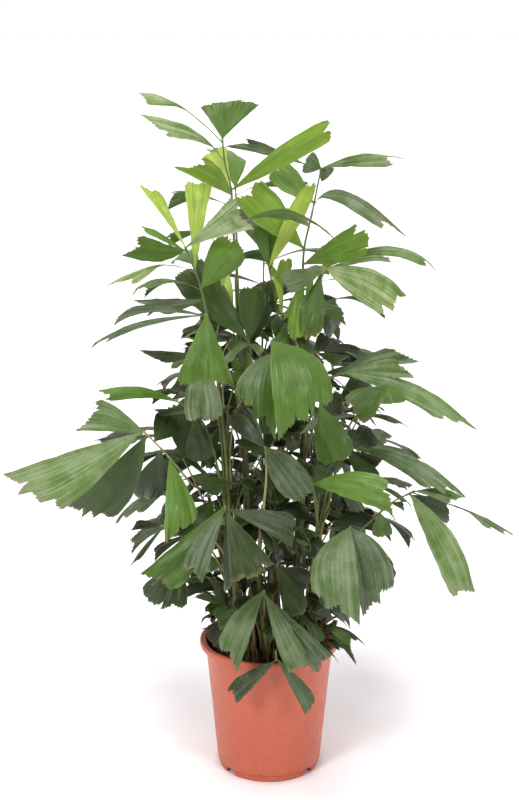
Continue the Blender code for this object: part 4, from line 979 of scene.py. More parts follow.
def waxy_material(step):
    """Blade with a pale grey-green painted sheen that lies in streaks and patches over the green."""
    # wax is the colour of the painted sheen, green the blade's own
    wax = linear(*SHEEN_GREENS[step])
    green = linear(*AGES[1 + step])
    m = Nodes("leaf_waxy_%d" % step)
    across, up = m.veins()
    place = m.place()
    streak = m.noise(m.vector(m.sum("MULTIPLY", across, 0.44), m.sum("MULTIPLY", up, 0.09)), 1.0, 3.0, 0.6)
    broad = m.noise(m.vector(m.sum("MULTIPLY", across, 0.12), m.sum("MULTIPLY", up, 0.05), 3.1), 1.0, 2.0)
    ridge = m.sum("SINE", m.sum("MULTIPLY", across, 2 * math.pi))
    pleat = m.sum("SINE", m.sum("MULTIPLY", m.sum("ADD", across, m.sum("MULTIPLY", broad, 1.4)), 0.86 * math.pi))
    # where the painted sheen lies: in streaks and patches
    cover = m.sum("ADD", m.sum("MULTIPLY", streak, 0.45), m.sum("MULTIPLY", m.noise(place, 30.0, 3.0, 0.6), 0.55))
    colour = m.blend(m.spread(cover, 0.42, 0.60, 0.12, 1.0), scaled(green, 1.05), scaled(wax, 1.04))
    uneven = m.spread(m.noise(place, 17.0, 2.0), 0.36, 0.64, 0.15, 1.0)
    # the pleats: painted shade in their troughs, painted highlight on their crests
    colour = m.blend(m.sum("MULTIPLY", uneven, m.spread(pleat, -1.0, 0.2, 0.22, 0.0)), colour, scaled(green, 0.80))
    colour = m.blend(m.sum("MULTIPLY", uneven, m.spread(pleat, 0.45, 1.0, 0.0, 0.14)), colour, scaled(wax, 1.30))
    # pale streaks: more painted sheen
    colour = m.blend(m.spread(streak, 0.50, 0.70, 0.0, 0.42), colour, scaled(wax, 1.26, linear(200, 206, 190), 0.10 + 0.06 * step))
    colour = m.blend(m.spread(up, 0.0, 1.6, 0.45, 0.0), colour, scaled(green, 1.30, linear(150, 170, 84), 0.22))
    specks = m.noise(place, 560.0, 1.0)
    colour = m.blend(m.spread(specks, 0.62, 0.72, 0.0, 0.30), colour, linear(176, 184, 158))
    colour = m.ends(colour, place, linear(150, 138, 112), 0.55)
    rough = m.spread(m.noise(place, 70.0, 2.0), 0.3, 0.7, 0.34, 0.54)
    height = m.sum("ADD", m.sum("MULTIPLY", ridge, 0.12), m.sum("MULTIPLY", streak, 0.40))
    height = m.sum("ADD", height, m.sum("MULTIPLY", pleat, 0.12))
    height = m.sum("ADD", height, m.sum("MULTIPLY", m.noise(place, 120.0, 3.0), 3.1))
    m.finish(colour, rough, height, 0.66, 0.00055, 0.46)
    glow = m.put("ShaderNodeBsdfTranslucent", {"Color": (*scaled(green, 1.35, linear(180, 196, 110), 0.15), 1.0)})
    mix = m.put("ShaderNodeMixShader", {0: 0.20, 1: m.shader.outputs[0], 2: glow.outputs[0]})
    m.join(mix.outputs[0], m.out.inputs["Surface"])
    return m.mat


def leaf_material(step, under):
    """Blade of one age.  Streaks, pleats and fine ridges follow the veins, the
    foot is paler, and old blades carry pale specks and a waxy bloom.  The pleats
    are painted darker in their troughs and lighter on their crests, as painted
    shade and painted highlight, and broad pale patches are painted sheen."""
    age = step / (SHADES - 1.0)
    look = linear(*AGES[step])
    grey = linear(138, 154, 122)
    base = scaled(look, 1.15, grey, 0.14 + 0.30 * age * (1.0 - age) * 2.0) if under else look
    m = Nodes("leaf_%s_%d" % ("under" if under else "upper", step))
    across, up = m.veins()
    place = m.place()
    streak = m.noise(m.vector(m.sum("MULTIPLY", across, 0.46), m.sum("MULTIPLY", up, 0.09)), 1.0, 3.0, 0.6)
    broad = m.noise(m.vector(m.sum("MULTIPLY", across, 0.14), m.sum("MULTIPLY", up, 0.05), 3.1), 1.0, 2.0)
    ridge = m.sum("SINE", m.sum("MULTIPLY", across, 2 * math.pi))
    pleat = m.sum("SINE", m.sum("MULTIPLY", m.sum("ADD", across, m.sum("MULTIPLY", broad, 1.4)), 0.86 * math.pi))
    colour = m.blend(m.spread(streak, 0.30, 0.70), scaled(base, 0.72), scaled(base, 1.26, linear(150, 176, 90), 0.04))
    uneven = m.spread(m.noise(place, 17.0, 2.0), 0.36, 0.64, 0.20 + 0.5 * age, 1.0)
    # the pleats: painted shade in their troughs, then painted highlight on their crests
    colour = m.blend(m.sum("MULTIPLY", uneven, m.spread(pleat, -1.0, 0.0, 0.38 + 0.30 * age, 0.0)), colour, scaled(base, 0.58, linear(104, 134, 30), 0.12 * age))
    colour = m.blend(m.sum("MULTIPLY", uneven, m.spread(pleat, 0.60, 1.0, 0.0, 0.16 + 0.22 * age)), colour, scaled(base, 1.42, linear(190, 206, 120), 0.05))
    # broad pale patches: painted sheen
    colour = m.blend(m.spread(broad, 0.35, 0.70, 0.0, 0.50), colour, scaled(base, 1.30, linear(168, 190, 96), 0.05 + 0.08 * age))
    blot = m.noise(place, 42.0, 3.0)
    colour = m.blend(m.spread(blot, 0.38, 0.72, 0.0, 0.55), colour, scaled(base, 0.62))
    bloom = m.noise(place, 24.0, 3.0, 0.6)
    colour = m.blend(m.spread(bloom, 0.50, 0.72, 0.0, 0.26 - 0.12 * age), colour, scaled(base, 1.15, linear(128, 142, 96), 0.28))
    colour = m.blend(m.spread(up, 0.0, 1.6, 0.50, 0.0), colour, scaled(base, 1.30, linear(150, 170, 84), 0.22))
    specks = m.noise(place, 620.0, 1.0)
    amount = (0.34 if not under else 0.16) * (1.0 - age) ** 1.2
    colour = m.blend(m.spread(specks, 0.63, 0.74, 0.0, amount), colour, linear(128, 146, 104))
    colour = m.ends(colour, place, linear(140, 122, 84), 0.50 - 0.28 * age)
    rough = m.spread(m.noise(place, 70.0, 2.0), 0.3, 0.7, (0.46 if under else 0.30), (0.62 if under else 0.46))
    height = m.sum("ADD", m.sum("MULTIPLY", ridge, 0.16), m.sum("MULTIPLY", streak, 0.40))
    height = m.sum("ADD", height, m.sum("MULTIPLY", pleat, 0.22 + 0.20 * age))
    height = m.sum("ADD", height, m.sum("MULTIPLY", m.noise(place, 135.0, 3.0), 1.9))
    m.finish(colour, rough, height, 0.50, 0.00045, 0.34 + 0.10 * age)
    glow = m.put("ShaderNodeBsdfTranslucent", {"Color": (*scaled(look, 1.45, linear(190, 210, 90), 0.12), 1.0)})
    mix = m.put("ShaderNodeMixShader", {0: 0.10 + 0.24 * age, 1: m.shader.outputs[0], 2: glow.outputs[0]})
    m.join(mix.outputs[0], m.out.inputs["Surface"])
    return m.mat


def dry_material():
    """Withered leaflets: brown, streaked along the veins, dull."""
    m = Nodes("leaf_dry")
    across, up = m.veins()
    place = m.place()
    streak = m.noise(m.vector(m.sum("MULTIPLY", across, 0.8), m.sum("MULTIPLY", up, 0.12)), 1.0, 3.0, 0.6)
    patch = m.noise(place, 60.0, 3.0)
    colour = m.blend(m.spread(streak, 0.3, 0.7), linear(50, 33, 24), linear(112, 78, 52))
    colour = m.blend(m.spread(patch, 0.45, 0.65, 0.0, 0.7), colour, linear(62, 62, 34))
    return m.finish(colour, m.spread(streak, 0.3, 0.7, 0.55, 0.82), streak, 0.8, 0.0006, 0.3)


def stalk_material(name, look, dark):
    """Stalks and petioles: smooth olive skin with fine lengthwise lines."""
    m = Nodes(name)
    across, up = m.veins()
    place = m.place()
    lines = m.noise(m.vector(m.sum("MULTIPLY", across, 9.0), m.sum("MULTIPLY", up, 0.12)), 1.0, 3.0, 0.6)
    patch = m.noise(place, 38.0, 3.0)
    colour = m.blend(m.spread(lines, 0.3, 0.7), scaled(look, 0.74), scaled(look, 1.18))
    colour = m.blend(m.spread(patch, 0.42, 0.68, 0.0, 0.75), colour, dark)
    rough = m.spread(lines, 0.3, 0.7, 0.36, 0.56)
    return m.finish(colour, rough, lines, 0.5, 0.0004)


def cane_material():
    """Canes: ribbed green-brown sheaths with brown fibre between them."""
    m = Nodes("cane_sheath")
    across, up = m.veins()
    place = m.place()
    fibre = m.noise(m.vector(m.sum("MULTIPLY", across, 16.0), m.sum("MULTIPLY", up, 0.30)), 1.0, 4.0, 0.65)
    patch = m.noise(place, 26.0, 4.0)
    low = m.put("ShaderNodeSeparateXYZ", {0: place}).outputs[2]
    colour = m.blend(m.spread(fibre, 0.32, 0.68), linear(52, 50, 24), linear(112, 112, 58))
    brown = m.sum("MULTIPLY", m.spread(patch, 0.46, 0.64), m.spread(low, 0.42, 0.62, 0.85, 0.10))
    colour = m.blend(brown, colour, linear(74, 50, 30))
    green = m.blend(m.spread(fibre, 0.32, 0.68), linear(70, 88, 36), linear(128, 148, 74))
    colour = m.blend(m.spread(low, 0.44, 0.78, 0.0, 0.90), colour, green)
    colour = m.blend(m.spread(low, 0.215, 0.36, 0.85, 0.0), colour,
                     m.blend(m.spread(fibre, 0.3, 0.7), linear(48, 27, 20), linear(116, 66, 44)))
    rough = m.spread(fibre, 0.3, 0.7, 0.52, 0.80)
    return m.finish(colour, rough, m.sum("ADD", fibre, m.sum("MULTIPLY", patch, 0.5)), 0.9, 0.0009)


def fibre_material():
    m = Nodes("brown_fibre")
    place = m.place()
    tone = m.noise(place, 70.0, 3.0)
    colour = m.blend(m.spread(tone, 0.32, 0.68), linear(52, 30, 22), linear(128, 82, 56))
    return m.finish(colour, m.spread(tone, 0.3, 0.7, 0.65, 0.9), m.noise(place, 900.0, 2.0), 0.6, 0.0003)


def peat_material():
    m = Nodes("peat_crumb")
    place = m.place()
    fine, coarse = m.noise(place, 700.0, 4.0, 0.7), m.noise(place, 90.0, 3.0)
    colour = m.blend(m.spread(fine, 0.35, 0.65), linear(24, 18, 15), linear(62, 44, 35))
    colour = m.blend(m.spread(coarse, 0.50, 0.70, 0.0, 0.7), colour, linear(84, 56, 42))
    return m.finish(colour, m.spread(fine, 0.3, 0.7, 0.80, 0.98), m.sum("ADD", fine, coarse), 1.0, 0.0016)


def pot_material():
    """Moulded plastic: even terracotta, faint flow marks, a little dust low
    down and on the lip, and scuffs.  The inner wall is painted darker as shade."""
    m = Nodes("terracotta_plastic_skin")
    place = m.place()
    split = m.put("ShaderNodeSeparateXYZ", {0: place})
    high = split.outputs[2]
    body, deep, pale = linear(188, 92, 65), linear(168, 76, 54), linear(208, 128, 106)
    flow = m.noise(m.put("ShaderNodeMapping", {"Vector": place, "Scale": (14.0, 14.0, 2.2)}).outputs[0], 1.0, 3.0)
    colour = m.blend(m.spread(flow, 0.3, 0.7), scaled(body, 0.96), scaled(body, 1.04))
    mottle = m.noise(place, 46.0, 4.0, 0.6)
    colour = m.blend(m.spread(mottle, 0.46, 0.74, 0.0, 0.28), colour, deep)
    dust = m.sum("MULTIPLY", m.spread(m.noise(place, 120.0, 4.0, 0.7), 0.48, 0.72), m.spread(high, 0.0, 0.07, 0.40, 0.06))
    colour = m.blend(dust, colour, pale)
    # painted shade: the inner wall above the pot's floor is darker
    wide = m.sum("SQRT", m.sum("ADD", m.sum("MULTIPLY", split.outputs[0], split.outputs[0]), m.sum("MULTIPLY", split.outputs[1], split.outputs[1])))
    wall = m.spread(high, 0.0126, POT_HEIGHT - POT_LIP - 0.0032, 0.0892, 0.1091)
    painted_inner_shade = m.sum("MULTIPLY", m.spread(m.sum("SUBTRACT", wide, wall), -0.0018, -0.0008, 0.92, 0.0), m.spread(high, 0.012, 0.014))
    colour = m.blend(painted_inner_shade, colour, m.blend(m.spread(mottle, 0.4, 0.65), linear(96, 44, 34), linear(122, 60, 46)))
    scuff = m.noise(m.put("ShaderNodeMapping", {"Vector": place, "Rotation": (0.3, 0.5, 0.2), "Scale": (60.0, 60.0, 420.0)}).outputs[0], 1.0, 2.0)
    colour = m.blend(m.spread(scuff, 0.68, 0.76, 0.0, 0.30), colour, pale)
    rough = m.spread(mottle, 0.3, 0.7, 0.36, 0.50)
    height = m.sum("ADD", m.noise(place, 1500.0, 2.0), m.sum("MULTIPLY", scuff, 0.3))
    return m.finish(colour, rough, height, 0.22, 0.0003)


# Age tints of the leaflets that stand out, in the order of the table above, and the steps of painted sheen they carry.
# Each is set to how bright the leaflet shows, so besides age it carries painted light: leaflets that get little light
# are painted paler, and a few carry painted highlights.
SHEEN_NOTES = {
    "crown": {1: 4, 2: 4},
    "upper_left": {2: 4, 5: 4, 6: 2, 7: 1},
    "left_fan": {1: 1, 2: 1},
    "upper_right": {0: 2, 1: 1, 2: 3, 3: 2, 5: 2},
    "right_hub": {0: 3.6, 1: 3, 2: 3, 3: 2},
    "far_left": {0: 3, 1: 3},
    "right_spread": {0: 3, 1: 4, 2: 3, 3: 2, 4: 2},
    "right_grey": {0: 2, 1: 2},
    "right_middle": {2: 1, 3: 1},
    "right_fans": {0: 1.4, 1: 1},
    "far_right": {0: 3, 1: 2, 2: 3},
    "middle_grey": {0: 1},
    "left_inner": {1: 2},
    "front_low": {0: 2, 1: 2, 2: 1},
    "front_left": {1: 1, 2: 0},
    "rim_pair": {0: 0, 1: 1},
    "low_left": {0: 0},
}
AGE_AND_LIGHT_NOTES = {
    "crown": (1.5, 1.5, 2.0, 2.25, 2.8, 2.4, 1.1),
    "upper_left": (2.7, 1.4, 1.6, 2.0, 2.9, 1.8, 0.6, 1.0, 1.7),
    "left_fan": (1.55, 0.8, 0.7),
    "upper_right": (1.3, 1.2, 1.3, 1.6, 1.9, 1.3, 2.1, 2.0),
    "right_hub": (1.6, 1.0, 0.8, 1.2, 0.9, 2.1),
    "dark_centre": (0.8, 0.5, 0.6),
    "middle_fans": (1.5, 1.1),
    "far_left": (1.7, 0.9, 0.6, 1.70, 0.3, 0.3, 0.4),
    "right_bright": (1.55, 0.4),
    "right_fans": (1.4, 1.1, 0.6),
    "right_spread": (1.6, 1.0, 1.1, 1.0, 0.6),
    "front_left": (1.15, 1.0, 0.9, 0.5, 0.3),
    "low_left": (0.6, 0.5, 0.7),
    "left_dark": (0.5, 0.8),
}


# ------------------------------------------------------------------ leaflets
def blade_surface(leaf, s, t):
    """Points of the blade at parts s of its length and t across, with the
    directions up from it and across it."""
    q = np.maximum(0.0, (s - leaf.stalk) / (1.0 - leaf.stalk))
    if leaf.full == 0.0:
        wide = q
    else:
        wide = np.sin(0.5 * np.pi * np.minimum(1.0, q / leaf.full)) ** leaf.curve
        wide = wide * (1.0 - 0.14 * np.maximum(0.0, q - 0.7) / 0.3)
    h = 0.0009 + 0.5 * leaf.width * wide
    ang = leaf.twist * s
    n = leaf.normal * np.cos(ang)[..., None] + leaf.side * np.sin(ang)[..., None]
    w = leaf.side * np.cos(ang)[..., None] - leaf.normal * np.sin(ang)[..., None]
    if leaf.fan:
        off = h * t
    else:
        swell = np.sin(np.pi * np.clip(s, 0.0, 1.0))
        off = leaf.flip * (h * (t - 1.0) + (0.05 * leaf.width + leaf.bow * leaf.length) * swell)
    lift = leaf.arch * leaf.length * 3.2 * s * np.maximum(0.0, 1.0 - s) ** 0.8
    mid = leaf.seat + (leaf.tip - leaf.seat) * s[..., None] + leaf.normal * lift[..., None]
    return mid + w * off[..., None] + n * (-leaf.cup * h * t * t)[..., None], n, w


def ragged_end(leaf, rng):
    """Places across the blade, and how much further or less far than its
    smooth outline the bitten end reaches at each, in metres.  The end is cut
    into a few lobes, each with a forward corner, the lobes into steps, and the
    steps into small teeth."""
    run = math.hypot(leaf.width, (1.0 - leaf.short) * leaf.length)
    lobes = int(min(5, max(2, round(run / 0.027))))
    cuts = np.linspace(-1.0, 1.0, lobes + 1)
    cuts[1:-1] += rng.uniform(-0.34, 0.34, lobes - 1) * (2.0 / lobes)
    deep = min(0.0220, 0.125 * leaf.length) * (0.68 if leaf.fan else 0.95) * leaf.calm
    step = min(0.0034, 0.030 * leaf.length) * leaf.calm
    fine = min(0.0010, 0.010 * leaf.length)
    knots, jag = [], []
    for k in range(lobes):
        a, b = cuts[k], cuts[k + 1]
        mid = 0.5 * (a + b)
        up, down = deep * rng.uniform(0.15, 1.0), deep * rng.uniform(0.15, 1.0)
        if leaf.fan:
            lo, hi = (-down, up) if mid > 0.15 else (up, -down) if mid < -0.15 else (0.4 * up, 0.2 * up)
        else:
            lo, hi = up, -down
            if k == lobes - 1:
                lo, hi = -0.5 * down, 0.0
        steps = int(min(6, max(2, round(0.5 * (b - a) * run / 0.0070))))
        places = np.linspace(0.0, 1.0, steps + 1)
        places[1:-1] += rng.uniform(-0.32, 0.32, steps - 1) / steps
        outward = 1.0 if (mid > 0) == leaf.fan else -1.0
        bend = rng.uniform(0.6, 1.5)
        for f0, f1 in zip(places[:-1], places[1:]):
            bite = step * rng.uniform(0.15, 1.0)
            e = 0.05 * (f1 - f0)
            c = 0.5 * (f0 + f1) + rng.uniform(-0.12, 0.12) * (f1 - f0)
            for f, part in ((f0 + e, -outward * bite), (c - 0.02 * (f1 - f0), -fine * rng.random()), (c + 0.10 * (f1 - f0), fine * rng.random()), (f1 - e, outward * bite)):
                knots.append(a + (b - a) * f)
                jag.append(lo + (hi - lo) * f ** bend + part)
    knots[0], knots[-1] = -1.0, 1.0
    if not leaf.fan:
        jag[-1] = 0.0
    knots, jag = np.array(knots), np.array(jag)
    if lobes > 2 and rng.random() < 0.5 and leaf.length > 0.06:
        c = cuts[int(rng.integers(1, lobes))]
        slit = leaf.length * rng.uniform(0.06, 0.17)
        at_ = int(np.searchsorted(knots, c))
        knots = np.insert(knots, at_, c)
        jag = np.insert(jag, at_, -slit)
    return knots, jag


def leaflet(pile, leaf, shade, rng, rows=13):
    """A closed thin blade: pleated and waved along its veins, its end bitten."""
    knots, jag = ragged_end(leaf, rng)
    reach = np.array([leaf.reach(t) for t in knots])
    reach = reach * (1.0 - 0.060 * smooth(-knots, 0.62, 1.0) ** 1.6)
    if leaf.fan:
        reach = reach * (1.0 - 0.040 * smooth(knots, 0.70, 1.0) ** 1.6)
    if leaf.length < 0.05:
        rows = 9
    p = np.linspace(0.0, 1.0, rows + 1)[:, None]
    t = knots[None, :] + 0.0 * p
    s = p * reach[None, :] + smooth(p, 0.50, 1.0) * (jag / leaf.length)[None, :]
    points, n, w = blade_surface(leaf, s, t)
    new = min(1.0, max(0.0, leaf.tint / 3.0))
    width = max(leaf.width, 0.004)
    # pleats, deepest halfway along
    folds = max(2.0, width / PLEAT)
    first = rng.random()
    # slow waves that grow towards the end
    a1, a2, a3 = rng.uniform(0.0, 2 * math.pi, 3)
    uneven = 0.34 * np.sin(2 * math.pi * (0.9 * t + 0.25 * s) + a2) + 0.16 * np.sin(2 * math.pi * 2.3 * t + a3)
    fold = np.abs(((t * folds * 0.5 + uneven + first) % 1.0) * 2.0 - 1.0) - 0.5
    fold = fold * (0.80 + 0.45 * np.sin(2 * math.pi * 1.4 * t + 3.0 * s + a1))
    rise = (0.00032 + 0.00050 * new) * fold * smooth(s, 0.02, 0.30) * (1.0 - 0.5 * smooth(s, 0.7, 1.0))
    size = min(1.0, leaf.length / 0.14) * min(1.0, width / 0.03)
    wave = 0.0024 * np.sin(2 * math.pi * (0.50 * t + 0.9 * s) + a1) + 0.0013 * np.sin(2 * math.pi * (1.2 * t - 0.8 * s) + a2)
    wave = wave * size * smooth(s, 0.05, 0.9)
    # the bitten end is crimped
    crimp = np.sin(2 * math.pi * t * width / 0.030 + a3) + 0.6 * np.sin(2 * math.pi * t * width / 0.017 + a1)
    wave = wave + 0.0011 * size * crimp * smooth(p, 0.62, 1.0)
    # the end droops, most in the long corner
    droop = -leaf.length * (0.028 + 0.065 * rng.random()) * smooth(s, 0.45, 1.1) ** 1.6
    if not leaf.fan:
        droop = droop * (0.6 + 0.8 * smooth(t, 0.2, 1.0))
    # one margin rolls down more than the other
    roll = rng.uniform(-0.10, 0.10)
    droop = droop - 0.5 * width * (0.05 + abs(roll)) * smooth(t * np.sign(roll), 0.1, 1.0) ** 1.5 * smooth(s, 0.15, 0.8)
    points = points + n * (rise + wave + droop)[..., None]
    # the fine edge wanders along the smooth sides too
    edge = 0.0006 * size * (np.sin(23.0 * s + a3) + 0.6 * np.sin(41.0 * s + a1)) * smooth(s, 0.1, 0.4)
    points = points + w * (edge * (np.abs(t) > 0.999) * np.sign(t))[..., None]
    along_, across_ = np.gradient(points, axis=0), np.gradient(points, axis=1)
    up = np.cross(along_, across_)
    up /= np.maximum(np.linalg.norm(up, axis=2, keepdims=True), 1e-12)
    up = up * np.sign((up * n).sum(axis=2, keepdims=True) + 1e-9)
    thick = LEAF_THICK + 0.0011 * np.exp(-s / 0.035)
    top = points + up * (0.5 * thick)[..., None]
    low = points - up * (0.5 * thick)[..., None]
    rows_, cols = len(p) - 1, len(knots) - 1
    count = (rows_ + 1) * (cols + 1)
    face = grid_faces(rows_, cols)
    # which way round the grid faces up
    ahead = np.cross(along_[rows_ // 2, cols // 2], across_[rows_ // 2, cols // 2])
    if float(ahead @ n[rows_ // 2, cols // 2]) < 0:
        upper, lower = face[:, ::-1], face + count
        turn = -1
    else:
        upper, lower = face, (face + count)[:, ::-1]
        turn = 1
    ring = [i * (cols + 1) for i in range(rows_ + 1)] + [rows_ * (cols + 1) + j for j in range(1, cols + 1)]
    ring += [i * (cols + 1) + cols for i in range(rows_ - 1, -1, -1)] + [j for j in range(cols - 1, 0, -1)]
    ring = np.array(ring)
    nxt = np.roll(ring, -1)
    rim = np.stack([ring, ring + count, nxt + count, nxt], axis=1)
    if turn > 0:
        rim = rim[:, ::-1]
    off_u, off_v = rng.uniform(0, 400), 0.0
    veins = np.stack([t * 0.5 * width / VEIN + off_u, s * leaf.length / 0.02 + off_v, p + 0.0 * t, np.abs(t)], axis=-1).reshape(-1, 4)
    points = np.concatenate([top.reshape(-1, 3), low.reshape(-1, 3)])
    faces = np.concatenate([upper, lower, rim])
    if shade >= 2 * SHADES:                # withered, or with painted sheen, the same on both faces
        shades = np.full(len(faces), shade)
    else:
        shades = np.concatenate([np.full(len(upper), shade), np.full(len(lower) + len(rim), shade + SHADES)])
    pile.add(points, faces, shades, np.concatenate([veins, veins]))
    return points, faces


def shade_of(leaf, rng):
    # leaf.wax, where set, is the step of painted sheen
    if leaf.wax is not None:
        return 2 * SHADES + 1 + min(len(SHEEN_GREENS) - 1, max(0, int(round(leaf.wax + rng.uniform(-0.3, 0.3)))))
    return int(min(SHADES - 1, max(0, round(leaf.tint * (SHADES - 1) / 3.0 + rng.uniform(-0.45, 0.45)))))


# ------------------------------------------------------------------ stalks
def stalk_line(name, cane, path):
    """Middle line of a frond's stalk, carried on into what it grows from."""
    line = [p for p in path]
    first = path[0]
    if cane == "soil":
        return np.array([first + np.array((0.0, 0.0, -0.010))] + line)
    ring = cane_path(cane, 80)
    gaps = np.linalg.norm(ring - first, axis=1)
    k = int(np.argmin(gaps))
    if k >= 79:
        tail = [ring[-1] - (ring[-1] - ring[-3]) * f for f in (1.2, 0.6, 0.0)]
        return np.array(tail + line)
    return np.array(line)


def stalks(name, cane, path, leaves, mats):
    pile = Pile()
    rng = chance("stalk", name)
    line = spline(stalk_line(name, cane, path), 56)
    f = np.linspace(0.0, 1.0, len(line))
    radius = np.array([rib_radius(x) for x in f]) * 0.92
    for leaf in leaves:                       # a slight swelling at every joint
        gap = np.linalg.norm(line - leaf.seat, axis=1)
        radius = radius + 0.00045 * np.exp(-(gap / 0.004) ** 2)
    sides = 10
    ang = 2 * math.pi * np.arange(sides) / sides
    groove = 1.0 - 0.10 * np.exp(-((ang[None, :] - 1.4) / 0.5) ** 2) + 0.015 * rng.standard_normal((len(line), sides))
    tube_piece(pile, line, radius, sides, 0, groove, 1.0, rng.uniform(0, 50))
    return pile.object("stalk_" + name, mats)


# ------------------------------------------------------------------ canes
def cane_piece(name, mats):
    """A cane in its sheaths: each sheath widens to a torn collar and ends."""
    rng = chance("cane", name)
    pile = Pile()
    rows = cane_rings(name)
    length = float(np.linalg.norm(np.diff(rows, axis=0), axis=1).sum())
    n = int(length / 0.0035)
    line = cane_path(name, n)
    f = np.linspace(0.0, 1.0, n + 1)
    base = np.array([cane_radius(name, x) for x in f])
    run = f * length
    collars, z = [], rng.uniform(0.02, 0.04)
    while z < length - 0.01:
        collars.append(z)
        z += rng.uniform(0.030, 0.055)
    grow_ = np.zeros(n + 1)
    prev = 0.0
    for c in collars:
        span = (run >= prev) & (run < c)
        grow_[span] = ((run[span] - prev) / (c - prev)) ** 2.0
        prev = c
    sides = 20
    ang = 2 * math.pi * np.arange(sides) / sides
    ribs = 0.09 * np.sin(4 * ang[None, :] + rng.uniform(0, 6) + 0.012 * np.arange(n + 1)[:, None]) + 0.035 * np.sin(9 * ang[None, :] + 0.04 * np.arange(n + 1)[:, None])
    relief = 0.82 + 0.13 * grow_[:, None] + ribs + 0.016 * rng.standard_normal((n + 1, sides))
    foot = np.exp(-run / 0.02)[:, None]
    relief = relief + 0.10 * foot * np.sin(3 * ang[None, :] + 1.0)
    line[0, 2] = SOIL_TOP - 0.006
    tube_piece(pile, line, base, sides, 0, relief, 1.0, rng.uniform(0, 50))
    # strips of torn fibre under the collars
    for c in collars:
        for _ in range(int(rng.integers(2, 5))):
            p, d = along(line, c / length)
            a = rng.uniform(0, 2 * math.pi)
            u_ = unit(np.cross(d, (0.31, 0.95, 0.07)))
            v_ = np.cross(d, u_)
            out = u_ * math.cos(a) + v_ * math.sin(a)
            r = cane_radius(name, c / length) * 1.02
            span = rng.uniform(0.008, 0.022)
            bend = rng.uniform(0.0005, 0.0022)
            way = [p + out * r - d * span * 0.8, p + out * (r + 0.0004), p + out * (r + bend) + d * span * 0.4]
            tube_piece(pile, spline(way, 5), np.linspace(0.0007, 0.00025, 6), 4, 1, None, 1.0, rng.uniform(0, 50))
    return pile.object(name + "_bark", mats)


def petiole_runs(fronds, mats_index):
    """Below its frond each petiole runs down beside its cane, into the clump."""
    pile = Pile()
    for name, cane, path, leaves in fronds:
        if cane == "soil":
            continue
        rng = chance("run", name)
        ring = cane_path(cane, 120)
        k = int(np.argmin(np.linalg.norm(ring - path[0], axis=1)))
        length = float(np.linalg.norm(ring[-1] - ring[0]))
        low = 0 if rng.random() < 0.7 else int(k * rng.uniform(0.2, 0.6))
        if k - low < 8:
            continue
        start = path[0] - ring[k]
        first = math.atan2(start[1], start[0]) if np.linalg.norm(start[:2]) > 0.002 else rng.uniform(0, 2 * math.pi)
        drift = rng.uniform(-1.1, 1.1)
        way = []
        for j in range(k, low - 1, -4):
            f = (k - j) / max(1, k - low)
            a = first + drift * f
            r = cane_radius(cane, j / 120.0) + 0.0012 + 0.0014 * math.sin(math.pi * min(1.0, 3 * f))
            if low == 0:
                r = r + 0.006 * f * rng.uniform(0.3, 1.0)
            else:
                r = r * (1.0 - 0.5 * f)
            way.append(ring[j] + np.array((math.cos(a) * r, math.sin(a) * r, 0.0)))
        if low == 0:
            way[-1][2] = SOIL_TOP - 0.004
        if k < 119:
            way = [path[1], path[0]] + way[1:]
        line = spline(way, max(16, 2 * len(way)))[::-1]
        f = np.linspace(0.0, 1.0, len(line))
        radius = 0.0026 + 0.0006 * (1 - f) ** 2 - 0.0004 * f
        tube_piece(pile, line, radius, 8, mats_index(rng), 1.0 + 0.03 * rng.standard_normal((len(line), 8)), 1.0, rng.uniform(0, 50))
    return pile


def clump_foot(count, mats_index):
    """Short dry stubs and old petiole bases that stand in the clump."""
    pile = Pile()
    feet = [np.array(CANES[c][0]) for c in CANES]
    for k in range(count):
        rng = chance("stub", k)
        foot = feet[k % len(feet)] + rng.uniform(-0.022, 0.022, 2)
        if np.linalg.norm(foot) > 0.088:
            foot = foot * 0.088 / np.linalg.norm(foot)
        tall = rng.uniform(0.02, 0.11) if k % 3 else rng.uniform(0.08, 0.20)
        lean = rng.uniform(-0.16, 0.16, 2) + foot * 0.9
        way = [np.array((foot[0] + lean[0] * tall * g, foot[1] + lean[1] * tall * g, SOIL_TOP - 0.006 + tall * g)) for g in (0.0, 0.4, 0.75, 1.0)]
        line = spline(way, 14)
        f = np.linspace(0.0, 1.0, 15)
        radius = (0.0030 + rng.uniform(-0.0008, 0.0012)) * (1.0 - 0.35 * f ** 2)
        relief = 1.0 + 0.08 * rng.standard_normal((15, 7)) + 0.25 * (f[:, None] > 0.9) * rng.uniform(-1, 0.4, (1, 7))
        tube_piece(pile, line, radius, 7, mats_index(rng), relief, rng.uniform(0.45, 0.9), rng.uniform(0, 50))
    return pile


